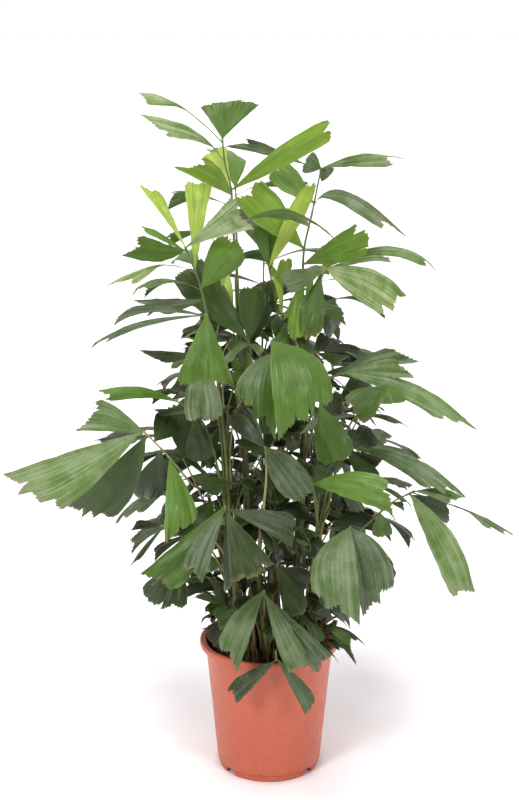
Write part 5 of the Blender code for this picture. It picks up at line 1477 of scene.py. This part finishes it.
# ------------------------------------------------------------------ pot
def fine_pot(mat):
    """The pot's wall turned finely: rolled lip, ring step, foot with notches."""
    h = POT_HEIGHT
    out = [(POT_RIM_R - 0.0105, h - 0.0040), (POT_RIM_R - 0.0102, h - 0.0022), (POT_RIM_R - 0.0092, h - 0.0008),
           (POT_RIM_R - 0.0075, h), (POT_RIM_R - 0.0030, h), (POT_RIM_R - 0.0012, h - 0.0006), (POT_RIM_R - 0.0003, h - 0.0016),
           (POT_RIM_R, h - 0.0032), (POT_RIM_R - 0.0001, h - 0.0086), (POT_RIM_R - 0.0006, h - 0.0098), (POT_RIM_R - 0.0016, h - POT_LIP),
           (0.1120, h - POT_LIP - 0.0002), (0.1099, h - POT_LIP - 0.0012), (0.1091, h - POT_LIP - 0.0032)]
    for k in range(1, 15):
        z = (h - POT_LIP - 0.0032) + (0.0150 - (h - POT_LIP - 0.0032)) * k / 14.0
        out.append((0.0892 + (0.1091 - 0.0892) * (z - 0.0126) / (h - POT_LIP - 0.0032 - 0.0126), z))
    out += [(0.0893, 0.0128), (0.0890, 0.0121), (0.0884, 0.0116), (0.0872, 0.0114), (0.0856, 0.0115), (0.0853, 0.0110), (0.0856, 0.0102), (0.0860, 0.0092), (0.0861, 0.0028), (0.0858, 0.0008), (0.0852, 0.0)]
    foot_out = len(out)
    inner = [(0.0834, 0.0), (0.0830, 0.0010), (0.0829, POT_FLOOR_Z - 0.0010), (0.0826, POT_FLOOR_Z), (0.060, POT_FLOOR_Z), (0.0585, POT_FLOOR_Z - 0.0012),
             (0.0565, POT_FLOOR_Z - 0.0012), (0.055, POT_FLOOR_Z), (0.0175, POT_FLOOR_Z), (0.0160, POT_FLOOR_Z - 0.001), (0.0152, 0.0010), (0.0142, 0.0)]
    top = [(0.0142, POT_FLOOR_Z + POT_WALL), (0.083, POT_FLOOR_Z + POT_WALL), (0.0865, POT_FLOOR_Z + POT_WALL + 0.002)]
    for k in range(1, 9):
        z = 0.016 + (h - 0.018 - 0.016) * k / 8.0
        top.append((0.0892 - POT_WALL + (0.1091 - 0.0892) * (z - 0.0126) / (h - POT_LIP - 0.0032 - 0.0126), z))
    top.append((POT_RIM_R - 0.0112, h - 0.0070))
    profile = out + inner + top
    steps = 224
    rng = chance("pot")
    ang = 2 * math.pi * np.arange(steps) / steps
    prof = np.array(profile)
    points = np.zeros((steps, len(prof), 3))
    for k, a in enumerate(ang):
        r, z = prof[:, 0].copy(), prof[:, 1].copy()
        # soft, uneven wall, as thin plastic has
        give = 0.0004 * math.sin(2 * a + 0.7) + 0.00022 * math.sin(3 * a + 2.0)
        r = r + give * smooth(z, 0.02, 0.10) * (prof[:, 0] > 0.03)
        for notch in NOTCH_ANGLES:
            gap = abs((math.degrees(a) - notch + 180.0) % 360.0 - 180.0)
            half = math.degrees(0.5 * (NOTCH_WIDE + 0.0050) / 0.0865)
            if gap < half:
                ring = (prof[:, 0] > 0.080) & (z < NOTCH_HIGH + 0.0028)
                z = np.where(ring, NOTCH_HIGH + 0.0028, z)
        points[k] = np.stack([r * math.sin(a), -r * math.cos(a), z], axis=1)
    n = len(prof)
    pile = Pile()
    flat = points.reshape(-1, 3)
    i, j = np.meshgrid(np.arange(steps), np.arange(n - 1), indexing="ij")
    a, b = i * n + j, ((i + 1) % steps) * n + j
    faces = [np.stack([a, a + 1, b + 1, b], axis=-1).reshape(-1, 4)]
    close = np.stack([np.arange(steps) * n + n - 1, np.arange(steps) * n, ((np.arange(steps) + 1) % steps) * n,
                      ((np.arange(steps) + 1) % steps) * n + n - 1], axis=-1)
    faces.append(close)
    faces = np.concatenate(faces)
    # the middle of the floor: the profile is cut at the boss, so that it caps
    low_i = foot_out + len(inner) - 1
    top_i = low_i + 1
    bridge = (faces[:, 0] % n == low_i) & (faces[:, 1] % n == top_i)
    faces = faces[~bridge]
    centre = len(flat)
    flat = np.concatenate([flat, [(0.0, 0.0, 0.0)], [(0.0, 0.0, POT_FLOOR_Z + POT_WALL)]])
    k = np.arange(steps)
    nk = (k + 1) % steps
    caps = [np.stack([k * n + low_i, np.full(steps, centre), nk * n + low_i, nk * n + low_i], axis=1),
            np.stack([nk * n + top_i, np.full(steps, centre + 1), k * n + top_i, k * n + top_i], axis=1)]
    pile.add(flat, np.concatenate([faces] + caps), 0)
    obj = pile.object("pot_shell", [mat], sharp=38)
    tidy(obj)
    return obj


def tidy(obj):
    """Welds what coincides and turns every face outwards."""
    bm = bmesh.new()
    bm.from_mesh(obj.data)
    bmesh.ops.remove_doubles(bm, verts=bm.verts, dist=0.00001)
    bmesh.ops.dissolve_degenerate(bm, edges=bm.edges, dist=0.000005)
    bmesh.ops.recalc_face_normals(bm, faces=bm.faces)
    bm.to_mesh(obj.data)
    bm.free()


# ------------------------------------------------------------------ peat
def peat_bed(mat):
    """The block of peat, its top uneven and piled a little round the canes."""
    rng = chance("peat")
    pile = Pile()
    rings, steps = 44, 132
    wall = lambda z: 0.0892 - POT_WALL + (0.1091 - 0.0892) * (z - 0.0126) / (POT_HEIGHT - POT_LIP - 0.0032 - 0.0126)
    edge = wall(SOIL_TOP) - 0.0009
    bumps = [(rng.uniform(0, 0.1) ** 0.5 * 0.30, rng.uniform(0, 2 * math.pi), rng.uniform(0.004, 0.012), rng.uniform(-0.0020, 0.0030)) for _ in range(150)]
    ang = 2 * math.pi * np.arange(steps) / steps
    rad = edge * (np.arange(rings + 1) / rings) ** 0.8
    x = rad[:, None] * np.cos(ang)[None, :]
    y = rad[:, None] * np.sin(ang)[None, :]
    z = np.full_like(x, SOIL_TOP - 0.0012)
    for r, a, size, tall in bumps:
        z += tall * np.exp(-((x - r * math.cos(a)) ** 2 + (y - r * math.sin(a)) ** 2) / size ** 2)
    for cane in CANES:
        fx, fy = CANES[cane][0]
        z += 0.0030 * np.exp(-((x - fx) ** 2 + (y - fy) ** 2) / 0.013 ** 2)
    z += 0.0009 * rng.standard_normal(x.shape)
    z = z - 0.002 * smooth(rad, edge - 0.006, edge)[:, None]
    z[0] = z[0].mean()
    points = np.stack([x, y, z], axis=-1)
    depth = []
    for k in range(1, 7):
        low = SOIL_TOP + (POT_FLOOR_Z + POT_WALL + 0.0005 - SOIL_TOP) * k / 6.0
        depth.append(np.stack([(wall(low) - 0.0009 - (0.004 if k == 6 else 0.0)) * np.cos(ang), (wall(low) - 0.0009 - (0.004 if k == 6 else 0.0)) * np.sin(ang),
                               np.full(steps, low)], axis=-1))
    grid = np.concatenate([points] + [d[None] for d in depth])
    flat = grid.reshape(-1, 3)
    faces = grid_faces(len(grid) - 1, steps, closed=True)
    centre = len(flat)
    flat = np.concatenate([flat, [(0.0, 0.0, POT_FLOOR_Z + POT_WALL + 0.0005)]])
    last = (len(grid) - 1) * steps
    k = np.arange(steps)
    caps = np.stack([last + k, np.full(steps, centre), last + (k + 1) % steps, last + (k + 1) % steps], axis=1)
    pile.add(flat, np.concatenate([faces, caps]), 0)
    obj = pile.object("peat_bed", [mat])
    tidy(obj)
    return obj


def crumb_shape():
    bm = bmesh.new()
    bmesh.ops.create_icosphere(bm, subdivisions=1, radius=1.0)
    points = np.array([v.co[:] for v in bm.verts])
    faces = np.array([[v.index for v in f.verts] + [f.verts[-1].index] for f in bm.faces])
    bm.free()
    return points, faces


def peat_crumbs(count, mats):
    """Loose lumps of peat and chips of bark on the top."""
    pile = Pile()
    points, faces = crumb_shape()
    for k in range(count):
        rng = chance("crumb", k)
        r, a = 0.100 * math.sqrt(rng.random()), rng.uniform(0, 2 * math.pi)
        size = rng.uniform(0.0008, 0.0026) * (1.7 if rng.random() < 0.10 else 1.0)
        lump = points * (1.0 + 0.25 * rng.standard_normal((len(points), 1)))
        lump = lump * np.array((1.0, rng.uniform(0.5, 1.0), rng.uniform(0.35, 0.8))) * size
        turn = rng.uniform(0, 2 * math.pi)
        c, s = math.cos(turn), math.sin(turn)
        lump = lump @ np.array(((c, -s, 0), (s, c, 0), (0, 0, 1.0)))
        lump = lump + np.array((r * math.cos(a), r * math.sin(a), SOIL_TOP + 0.0012 + rng.uniform(-0.0006, 0.0018)))
        pile.add(lump, faces, 0)
    return pile.object("peat_crumbs", mats)


def peat_fibres(count, mats):
    """Coir and root hairs that lie on the peat and stick up from it."""
    pile = Pile()
    for k in range(count):
        rng = chance("fibre", k)
        r, a = 0.097 * math.sqrt(rng.random()), rng.uniform(0, 2 * math.pi)
        start = np.array((r * math.cos(a), r * math.sin(a), SOIL_TOP - 0.001))
        way = rng.uniform(0, 2 * math.pi)
        long_ = rng.uniform(0.010, 0.034)
        tall = rng.uniform(0.001, 0.006) + (0.012 if rng.random() < 0.15 else 0.0)
        step = np.array((math.cos(way), math.sin(way), 0.0)) * long_
        bend = np.array((-step[1], step[0], 0.0)) * rng.uniform(-0.4, 0.4)
        pts = [start, start + step * 0.35 + bend * 0.6 + UP * (tall + 0.002), start + step * 0.7 + bend + UP * (tall + 0.003), start + step + UP * 0.0028]
        end = np.linalg.norm([p[:2] for p in pts], axis=1).max()
        if end > 0.103:
            continue
        tube_piece(pile, spline(pts, 8), np.linspace(0.00055, 0.00022, 9) * rng.uniform(0.7, 1.4), 4, 0, None, 1.0, 0.0)
    return pile.object("peat_fibres", mats)



# ------------------------------------------------------------------ filling
# Where the crown is closed as seen from the front: down the elevation (v), and
# its left and right there (u); and how far back it reaches by height.
CORE = [(296, 212, 326), (340, 182, 342), (370, 172, 368), (400, 164, 390), (430, 156, 380), (460, 156, 360),
        (490, 160, 352), (520, 162, 370), (550, 160, 382), (580, 168, 376), (605, 198, 345), (630, 214, 330), (648, 224, 320)]
DEPTH = [(0.22, 0.09), (0.30, 0.15), (0.42, 0.23), (0.60, 0.26), (0.78, 0.23), (0.92, 0.16), (1.04, 0.08)]


def in_crown(p, room=0.0):
    u, v = seen(p)
    rows = [r[0] for r in CORE]
    if v < rows[0] or v > rows[-1]:
        return False
    lo, hi = np.interp(v, rows, [r[1] for r in CORE]), np.interp(v, rows, [r[2] for r in CORE])
    deep = np.interp(p[2], [d[0] for d in DEPTH], [d[1] for d in DEPTH])
    return lo - room <= u <= hi + room and -0.13 <= p[1] <= deep


def close_plate(leaf, thick, rows=5, cols=4):
    """Closed sheet that follows the blade, for testing room: points, faces."""
    t = np.linspace(-1.0, 1.0, cols + 1)[None, :] + np.zeros((rows + 1, 1))
    reach = np.array([leaf.reach(x) for x in t[0]])
    s = np.linspace(0.04, 1.0, rows + 1)[:, None] * reach[None, :]
    grid, n, w = blade_surface(leaf, s, t)
    both = np.concatenate([(grid + n * (thick / 2)).reshape(-1, 3), (grid - n * (thick / 2)).reshape(-1, 3)])
    count = (rows + 1) * (cols + 1)
    quads = grid_faces(rows, cols)
    ring = [i * (cols + 1) for i in range(rows + 1)] + [rows * (cols + 1) + j for j in range(1, cols + 1)]
    ring += [i * (cols + 1) + cols for i in range(rows - 1, -1, -1)] + [j for j in range(cols - 1, 0, -1)]
    faces = [tuple(q) for q in quads.tolist()] + [tuple(q[::-1]) for q in (quads + count).tolist()]
    faces += [(a, a + count, b + count, b) for a, b in zip(ring, ring[1:] + ring[:1])]
    return both, faces


class Crowd(Room):
    """A room whose boxes are compared all at once."""

    def __init__(self):
        super().__init__()
        self.lo, self.hi = np.zeros((0, 3)), np.zeros((0, 3))

    def add(self, owner, pts, faces):
        super().add(owner, pts, faces)
        self.lo = np.vstack([self.lo, self.items[-1][1]])
        self.hi = np.vstack([self.hi, self.items[-1][2]])

    def clash(self, pts, faces, skip=()):
        arr = np.asarray(pts, float)
        near_ = np.nonzero(((self.lo <= arr.max(0)) & (self.hi >= arr.min(0))).all(axis=1))[0]
        tree = None
        for k in near_:
            if self.items[k][0] in skip:
                continue
            if tree is None:
                tree = BVHTree.FromPolygons([Vector(p) for p in arr], faces)
            if tree.overlap(self.items[k][3]):
                return True
        return False


def spray_stalk(hub, rng):
    """A thin petiole from the nearest cane, lower down, out to the hub."""
    best, found = 1e9, None
    for cane in CANES:
        line = cane_path(cane, 40)
        want = hub[2] - rng.uniform(0.05, 0.20)
        if want < line[0][2] + 0.012:
            want = line[0][2] + rng.uniform(0.012, 0.05)
        if want > line[-1][2] - 0.01:
            want = line[-1][2] - 0.01
        k = int(np.argmin(np.abs(line[:, 2] - want)))
        gap = np.linalg.norm((hub - line[k])[:2]) + 0.5 * abs(hub[2] - line[k][2] - 0.1)
        if gap < best:
            best, found = gap, (cane, k / 40.0)
    cane, f = found
    p, d = along(cane_path(cane), f)
    out = hub - p
    out = np.array((out[0], out[1], 0.0))
    reach = float(np.linalg.norm(out))
    if reach < 0.012 or hub[2] < p[2] - 0.01:
        return None
    out = unit(out)
    start = p + out * (cane_radius(cane, f) + 0.0012)
    rise = max(0.02, hub[2] - start[2])
    way = [start, start + d * 0.35 * rise + out * 0.06 * reach, start + d * 0.72 * rise + out * 0.38 * reach, hub]
    return cane, spline(way, 18)


def spray_leaves(path, cane, aim, size, out, eye, room, front_tree, rng):
    """Up to five leaflets at the end of a stalk, the first along the aim.
    None may cover a leaflet of the front or touch what is there already."""
    leaves = []
    for j in range(5):
        if j == 0:
            way, long_, seat = aim, size, path[-1]
        else:
            turn = rng.uniform(0.5, 1.3) * (1 if j % 2 else -1)
            c, s_ = math.cos(turn), math.sin(turn)
            flat = np.array((out[0] * c - out[1] * s_, out[0] * s_ + out[1] * c, 0.0))
            way = unit(flat + UP * rng.uniform(-0.8, 0.2))
            long_ = size * rng.uniform(0.6, 1.0)
            seat = along(path, 1.0 if j < 3 else rng.uniform(0.72, 0.9))[0]
        view = unit(eye - seat)
        up = unit(UP * 0.8 + view * rng.uniform(0.3, 1.1) + out * 0.2 + rng.uniform(-0.3, 0.3, 3))
        wide, kind = rng.uniform(0.36, 0.55), int(rng.integers(0, 6))
        twist, older, arch, flip = rng.uniform(-14, 14), rng.uniform(-0.35, 0.6), rng.uniform(0.05, 0.16), rng.random()
        if abs(float(up @ way)) > 0.9:
            if j == 0:
                return []
            continue
        leaf = Leaf(seat + way * 0.0006, seat + way * long_, long_ * wide, up,
                    ("Be", "Fa", "Bwa", "F", "Ba", "Fwa")[kind], 0.0, math.radians(twist))
        # the tint is darker the lower the seat: painted shade for the inside of the crown, on top of a random age
        leaf.tint = float(np.clip(0.0 + 0.60 * (seat[2] - 0.3) / 0.6 + older, 0.0, 1.6))
        leaf.arch = arch
        leaf.flip = 1.0 if flip < 0.5 else -1.0
        # some outer leaflets get a step of painted sheen
        leaf.wax = rng.uniform(-0.4, 1.6) if rng.random() < 0.22 and np.linalg.norm(seat[:2] - (0.0, 0.02)) > 0.075 else None
        leaf.calm = 1.0
        pts, faces = close_plate(leaf, 0.0026)
        fits = sum(in_crown(q, 4.0) for q in pts[:30:2]) / 15.0 >= 0.85
        hide = sum(front_tree.ray_cast(Vector(q), Vector(unit(q - EYE)), 1.0)[0] is not None for q in pts[:30:3]) if fits else 9
        if not fits or hide > 2 or room.clash(pts, faces, skip=(cane,)):
            if j == 0:
                return []
            continue
        leaves.append((leaf, pts, faces))
    return leaves


def fill(fronds):
    """More sprays of leaflets where the crown would else be open.  From each
    of several sides a point of the crown is tried; where nothing yet hides
    what is behind it, a spray grows there from the nearest cane."""
    rng = chance("fill")
    room = Crowd()
    soil_and_pot_room(room)
    named = {row[0] for row in FRONDS}
    fronts, every = [], []
    for cane in CANES:
        pts, faces = tube(cane_path(cane), lambda t, c=cane: cane_radius(c, t), 6)
        room.add(cane, pts, faces)
        every.append((np.array([tuple(p) for p in pts]), faces))
    for name, cane, path, leaves in fronds:
        pts, faces = tube(path[::2], rib_radius, 5)
        room.add(name, pts, faces)
        for leaf in leaves:
            pts, faces = close_plate(leaf, 0.0030)
            room.add(name, pts, faces)
            every.append((pts, faces))
            if name in named:
                fronts.append((pts, faces))

    def one_tree(parts):
        pts, faces, n = [], [], 0
        for p, f in parts:
            pts += [Vector(q) for q in p]
            faces += [tuple(i + n for i in face) for face in f]
            n += len(p)
        return BVHTree.FromPolygons(pts, faces)

    front_tree = one_tree(fronts)
    trees = [one_tree(every)]
    eyes = [EYE] + [np.array((2.5 * math.sin(math.radians(a)), -2.5 * math.cos(math.radians(a)), h))
                    for a, h in ((50, 1.0), (95, 1.1), (140, 0.9), (180, 1.1), (220, 1.0), (265, 1.1), (310, 1.0))]
    sprays = []
    for k in range(FILL_TRIES):
        first = k % 2 == 0
        eye = eyes[0] if first else eyes[1 + (k // 2) % 7]
        if first:
            low = k % 6 == 0                     # more tries low down in the middle
            p = at(rng.uniform(218 if low else 160, 330 if low else 380), rng.uniform(470 if low else 300, 645), rng.uniform(-0.05, 0.19))
        else:
            p = np.array((rng.uniform(-0.20, 0.20), rng.uniform(-0.10, 0.24), rng.uniform(0.27, 0.92)))
        if not in_crown(p):
            continue
        look = Vector(unit(p - eye))
        if any(tree.ray_cast(Vector(eye), look, 4.0)[0] is not None for tree in trees):
            continue
        leaves, path, cane = [], None, None
        for scale in ((1.0, 0.78, 0.6) if k < 0.6 * FILL_TRIES else (0.62, 0.48, 0.38)):
            # the first leaflet of the spray lies across the point
            size = rng.uniform(0.080, 0.130) * scale
            out = unit(np.array((p[0], p[1] - 0.01, 0.0)) + rng.uniform(-0.02, 0.02, 3) * (1, 1, 0) + 1e-6)
            aim = unit(out + UP * rng.uniform(-0.9, 0.25) + rng.uniform(-0.4, 0.4, 3))
            made = spray_stalk(p - aim * size * 0.55, rng)
            if made is None:
                continue
            cane, path = made
            pts, faces = tube(path[2:], lambda t: 0.0020, 4)
            if room.clash([tuple(q) for q in pts], faces, skip=(cane,)):
                continue
            leaves = spray_leaves(path, cane, aim, size, out, eye, room, front_tree, rng)
            if leaves:
                break
        if not leaves:
            continue
        name = "spray_%d" % len(sprays)
        tp, tf = tube(path, lambda t: 0.0016, 4)
        room.add(name, tp, tf)
        for leaf, pts, faces in leaves:
            room.add(name, pts, faces)
        trees.append(one_tree([(q, f) for _, q, f in leaves]))
        sprays.append((cane, path, [leaf for leaf, _, _ in leaves]))
        if sum(len(x[2]) for x in sprays) > FILL_LEAVES:
            break
    return sprays


# Narrow leaflets of young shoots and withered ones near the rim: from and to
# in the elevation (u, v, y), width in units, and age (negative when dry).
TUFTS = [
    ((316, 636, -0.030), (332, 610, 0.004), 4.0, -1), ((314, 638, -0.026), (340, 622, -0.010), 4.4, -1),
    ((317, 634, -0.034), (326, 617, -0.050), 3.6, -1), ((320, 632, -0.020), (348, 630, -0.026), 4.2, 0.5),
    ((319, 633, -0.028), (345, 648, -0.058), 5.2, 0.9), ((322, 630, -0.040), (352, 655, -0.074), 3.4, 0.6),
    ((318, 634, -0.010), (338, 616, 0.030), 4.6, -1), ((312, 640, -0.040), (330, 640, -0.064), 3.6, -1),
    ((310, 641, -0.030), (322, 626, -0.060), 3.8, 0.2), ((315, 637, -0.036), (339, 660, -0.082), 3.6, 0.7),
    ((226, 606, -0.052), (212, 590, -0.046), 3.6, 0.3), ((228, 610, -0.050), (206, 606, -0.072), 4.0, 0.6),
    ((229, 612, -0.046), (219, 584, -0.030), 3.4, -1), ((233, 622, -0.050), (223, 604, -0.084), 4.4, 0.4),
    ((234, 640, -0.060), (221, 652, -0.074), 5.0, 0.1), ((232, 630, -0.048), (214, 622, -0.066), 4.2, -1),
    ((246, 640, -0.066), (238, 618, -0.080), 4.0, -1), ((292, 640, -0.066), (300, 618, -0.072), 4.0, 0.3),
    ((284, 646, -0.074), (277, 622, -0.070), 3.2, -1), ((268, 646, -0.074), (272, 624, -0.066), 3.4, 0.5),
    ((230, 326, 0.004), (222, 264, 0.010), 9.0, 2.9), ((219, 306, -0.004), (213, 236, 0.016), 7.0, 2.7),
    ((280, 322, 0.010), (268, 262, 0.024), 7.0, 2.6), ((301, 330, 0.014), (309, 268, 0.030), 6.5, 2.3),
    ((240, 400, -0.004), (229, 348, -0.012), 8.0, 1.2), ((262, 640, -0.060), (250, 560, -0.100), 7.0, 0.8),
    ((276, 640, -0.060), (284, 580, -0.086), 6.0, 0.5), ((290, 642, -0.050), (299, 590, -0.060), 6.0, 0.3),
    ((246, 642, -0.050), (238, 586, -0.060), 6.5, 0.4),
]


def withered():
    """Two clusters of thin dry leaflets that fan out over the lip."""
    rows = []
    for side, (u, v, y), lo, hi, count in (("right", (315, 641, -0.052), -28.0, 112.0, 20), ("left", (229, 636, -0.052), 78.0, 168.0, 9)):
        rng = chance("withered", side)
        for k in range(count):
            a = math.radians(lo + (hi - lo) * (k + rng.uniform(0.0, 1.0)) / count)
            span = rng.uniform(15.0, 31.0)
            start = (u + rng.uniform(-6, 5), v + rng.uniform(-4, 3), y + rng.uniform(-0.012, 0.018))
            end = (start[0] + span * math.cos(a), start[1] - span * math.sin(a), start[2] - rng.uniform(-0.012, 0.026))
            rows.append((start, end, rng.uniform(2.6, 4.6), -1 if rng.random() < 0.72 else rng.uniform(0.1, 0.5)))
    return rows


def tufts():
    """The young and the withered shoots, each on a short stalk from the peat."""
    blades, ribs = Pile(), Pile()
    for k, (start, end, wide, age) in enumerate(TUFTS + withered()):
        rng = chance("tuft", k)
        seat, tip = at(*start), at(*end)
        foot = np.array((seat[0] * 0.86, seat[1] * 0.9, SOIL_TOP - 0.004))
        if seat[2] > 0.40:                 # high up it leaves the nearest cane
            feet = [cane_path(c, 60) for c in CANES]
            feet = np.concatenate([f[f[:, 2] < seat[2] - 0.045] for f in feet])
            foot = feet[int(np.argmin(np.linalg.norm(feet - seat, axis=1)))]
        view = unit(EYE - seat)
        leaf = Leaf(seat, tip, wide * 0.00165, unit(UP + view * 0.8 + rng.uniform(-0.5, 0.5, 3)), "Ba" if k % 2 else "Fa",
                    max(0.0, age), math.radians(rng.uniform(-40, 40)))
        leaf.arch = rng.uniform(0.08, 0.22)
        leaf.wax, leaf.calm = None, 1.0
        leaflet(blades, leaf, 2 * SHADES if age < 0 else shade_of(leaf, rng), rng, 9)
        line = spline([foot, foot * 0.5 + seat * 0.5 + rng.uniform(-0.002, 0.002, 3), seat, seat + unit(tip - seat) * 0.004], 12)
        tube_piece(ribs, line, np.linspace(0.0020 if seat[2] > 0.40 else 0.0016, 0.0008, 13), 6, 3 if age < 0 else 1 if age > 2 else 0, None, 1.0, rng.uniform(0, 50))
    return blades, ribs


# ------------------------------------------------------------------ the whole
def dress():
    fronds, report = grow()
    front = {row[0] for row in FRONDS}
    leaf_mats = [leaf_material(k, False) for k in range(SHADES)] + [leaf_material(k, True) for k in range(SHADES)]
    leaf_mats.append(dry_material())
    leaf_mats += [waxy_material(k) for k in range(len(SHEEN_GREENS))]
    for name, cane, path, leaves in fronds:
        for leaf, tint in zip(leaves, AGE_AND_LIGHT_NOTES.get(name, ())):
            leaf.tint = tint
        for k, leaf in enumerate(leaves):
            # leaf.wax: the step of painted sheen; back leaflets get it at random
            leaf.wax = SHEEN_NOTES.get(name, {}).get(k)
            if name not in front and chance("wax", name, k).random() < 0.35:
                leaf.wax = 2.5 * chance("how waxy", name, k).random()
            leaf.calm = 0.35 if (name, k) == ("crown", 0) else 1.0
    stalk_mats = [stalk_material("stalk_olive", linear(118, 122, 62), linear(92, 84, 44)),
                  stalk_material("stalk_green", linear(98, 116, 54), linear(70, 74, 38)),
                  stalk_material("stalk_pale", linear(150, 150, 92), linear(112, 104, 62)),
                  stalk_material("stalk_brown", linear(104, 74, 46), linear(66, 42, 28))]
    for name, cane, path, leaves in fronds:
        pile = Pile()
        for k, leaf in enumerate(leaves):
            rng = chance("leaf", name, k)
            leaflet(pile, leaf, shade_of(leaf, rng), rng)
        blades = pile.object("leaflets_" + name, leaf_mats, sharp=62)
        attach(blades, "root")
        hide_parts("frond_" + name)
        rng = chance("stalk colour", name)
        young = sum(leaf.tint for leaf in leaves) / max(1, len(leaves))
        mat = stalk_mats[1] if young > 1.3 else stalk_mats[int(rng.integers(0, 3))]
        rib = stalks(name, cane, path, leaves, [mat])
        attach(rib, "root")
        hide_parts("frond_" + name)
    sprays = fill(fronds)
    print("sprays:", len(sprays), "leaflets:", sum(len(x[2]) for x in sprays))
    groups = {}
    for k, (cane, path, leaves) in enumerate(sprays):
        mid = path[-1]
        side = ("left" if mid[0] < 0 else "right") + ("_front" if mid[1] < 0.03 else "_back")
        blades, ribs = groups.setdefault(side, (Pile(), Pile()))
        rng = chance("spray leaf", k)
        for leaf in leaves:
            leaflet(blades, leaf, shade_of(leaf, rng), rng, 9)
        f = np.linspace(0.0, 1.0, len(path))
        tube_piece(ribs, path, 0.0020 - 0.0009 * f, 7, int(rng.integers(0, 3)), None, 1.0, rng.uniform(0, 50))
    groups["rim"] = tufts()
    for side, (blades, ribs) in groups.items():
        one = blades.object("inner_leaflets_" + side, leaf_mats, sharp=62)
        two = ribs.object("inner_stalks_" + side, stalk_mats)
        for piece in (one, two):
            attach(piece, "root")
    bark, fibre = cane_material(), fibre_material()
    for name in CANES:
        piece = cane_piece(name, [bark, fibre])
        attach(piece, "root")
        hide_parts(name)
    mats = stalk_mats + [fibre]
    pick = lambda rng: int(rng.choice([0, 1, 2, 3], p=[0.34, 0.30, 0.18, 0.18]))
    runs = petiole_runs(fronds, pick).object("petioles", mats)
    dry = lambda rng: int(rng.choice([3, 4], p=[0.6, 0.4]))
    stubs = clump_foot(46, dry).object("clump_stubs", mats)
    for piece in (runs, stubs):
        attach(piece, "root")
    peat = peat_material()
    bed = peat_bed(peat)
    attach(bed, "root")
    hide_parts("soil")
    crumbs = peat_crumbs(1500, [peat])
    hairs = peat_fibres(260, [fibre])
    for piece in (crumbs, hairs):
        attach(piece, "root")
    pot = fine_pot(pot_material())
    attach(pot, "root")
    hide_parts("pot")
    return report


# ------------------------------------------------------------------ studio
def studio():
    """A white floor and backdrop, two soft frontal lamps and a weak one above."""
    bpy.ops.mesh.primitive_plane_add(size=400.0, location=(0.0, 0.0, 0.0))
    floor = bpy.context.object
    floor.name = "studio_floor"
    m = Nodes("studio_white")
    place = m.place()
    tone = m.noise(place, 3.0, 3.0)
    colour = m.blend(m.spread(tone, 0.3, 0.7), (0.920, 0.894, 0.908), (0.950, 0.928, 0.942))
    m.finish(colour, m.spread(tone, 0.3, 0.7, 0.60, 0.72), None, specular=0.2)
    m.shader.inputs["Emission Color"].default_value = (1.0, 0.95, 0.975, 1.0)
    east, north, _ = m.put("ShaderNodeSeparateXYZ", {0: place}).outputs
    from_axis = m.sum("SQRT", m.sum("ADD", m.sum("MULTIPLY", east, east), m.sum("MULTIPLY", north, north)))
    m.join(m.spread(from_axis, 0.089, 0.100, 0.0, 0.115), m.shader.inputs["Emission Strength"])
    floor.data.materials.append(m.mat)

    world = bpy.data.worlds.new("studio_air")
    bpy.context.scene.world = world
    world.use_nodes = True
    tree = world.node_tree
    back = tree.nodes["Background"]
    back.inputs["Color"].default_value = (1.0, 0.965, 0.972, 1.0)
    # bright behind the plant, where the backdrop is, and dim in front of it
    where = tree.nodes.new("ShaderNodeTexCoord")
    split = tree.nodes.new("ShaderNodeSeparateXYZ")
    ramp = tree.nodes.new("ShaderNodeMapRange")
    ramp.inputs["From Min"].default_value = -0.35
    ramp.inputs["From Max"].default_value = 0.45
    ramp.inputs["To Min"].default_value = 0.10
    ramp.inputs["To Max"].default_value = 1.05
    tree.links.new(where.outputs["Generated"], split.inputs[0])
    tree.links.new(split.outputs[1], ramp.inputs["Value"])
    tree.links.new(ramp.outputs[0], back.inputs["Strength"])
    plain = tree.nodes.new("ShaderNodeBackground")
    plain.inputs["Color"].default_value = (1.0, 1.0, 1.0, 1.0)
    plain.inputs["Strength"].default_value = 1.0
    way = tree.nodes.new("ShaderNodeLightPath")
    mix = tree.nodes.new("ShaderNodeMixShader")
    tree.links.new(way.outputs["Is Camera Ray"], mix.inputs[0])
    tree.links.new(back.outputs[0], mix.inputs[1])
    tree.links.new(plain.outputs[0], mix.inputs[2])
    tree.links.new(mix.outputs[0], tree.nodes["World Output"].inputs["Surface"])

    # name, degrees to the right of the front, degrees up, softness, strength
    for name, way_, high, soft, power in (("lamp_left", -36.0, 36.0, 13.0, 1.36), ("lamp_right", 38.0, 28.0, 13.0, 0.88), ("lamp_top", -8.0, 74.0, 24.0, 1.80)):
        light = bpy.data.lights.new(name, "SUN")
        light.angle = math.radians(soft)
        light.energy = power
        lamp = bpy.data.objects.new(name, light)
        bpy.context.scene.collection.objects.link(lamp)
        a, b = math.radians(way_), math.radians(high)
        towards = Vector((math.sin(a) * math.cos(b), -math.cos(a) * math.cos(b), math.sin(b)))
        lamp.rotation_euler = towards.to_track_quat("Z", "Y").to_euler()

    view = bpy.context.scene.view_settings
    view.view_transform = "Standard"
    view.look = "None"
    view.exposure = 0.0
    view.gamma = 1.0


def camera():
    cam = bpy.data.cameras.new("camera")
    cam.lens = 71.0
    cam.sensor_width = 36.0
    cam.sensor_fit = "AUTO"
    cam.clip_start, cam.clip_end = 0.05, 60.0
    obj = bpy.data.objects.new("camera", cam)
    bpy.context.scene.collection.objects.link(obj)
    obj.location = (-0.0165, -EYE_BACK, EYE_UP)
    obj.rotation_euler = (math.radians(76.0), 0.0, 0.0)
    bpy.context.scene.camera = obj


camera()
GROWTH_REPORT = dress()
studio()
if GROWTH_REPORT:
    print("growth report:", GROWTH_REPORT)
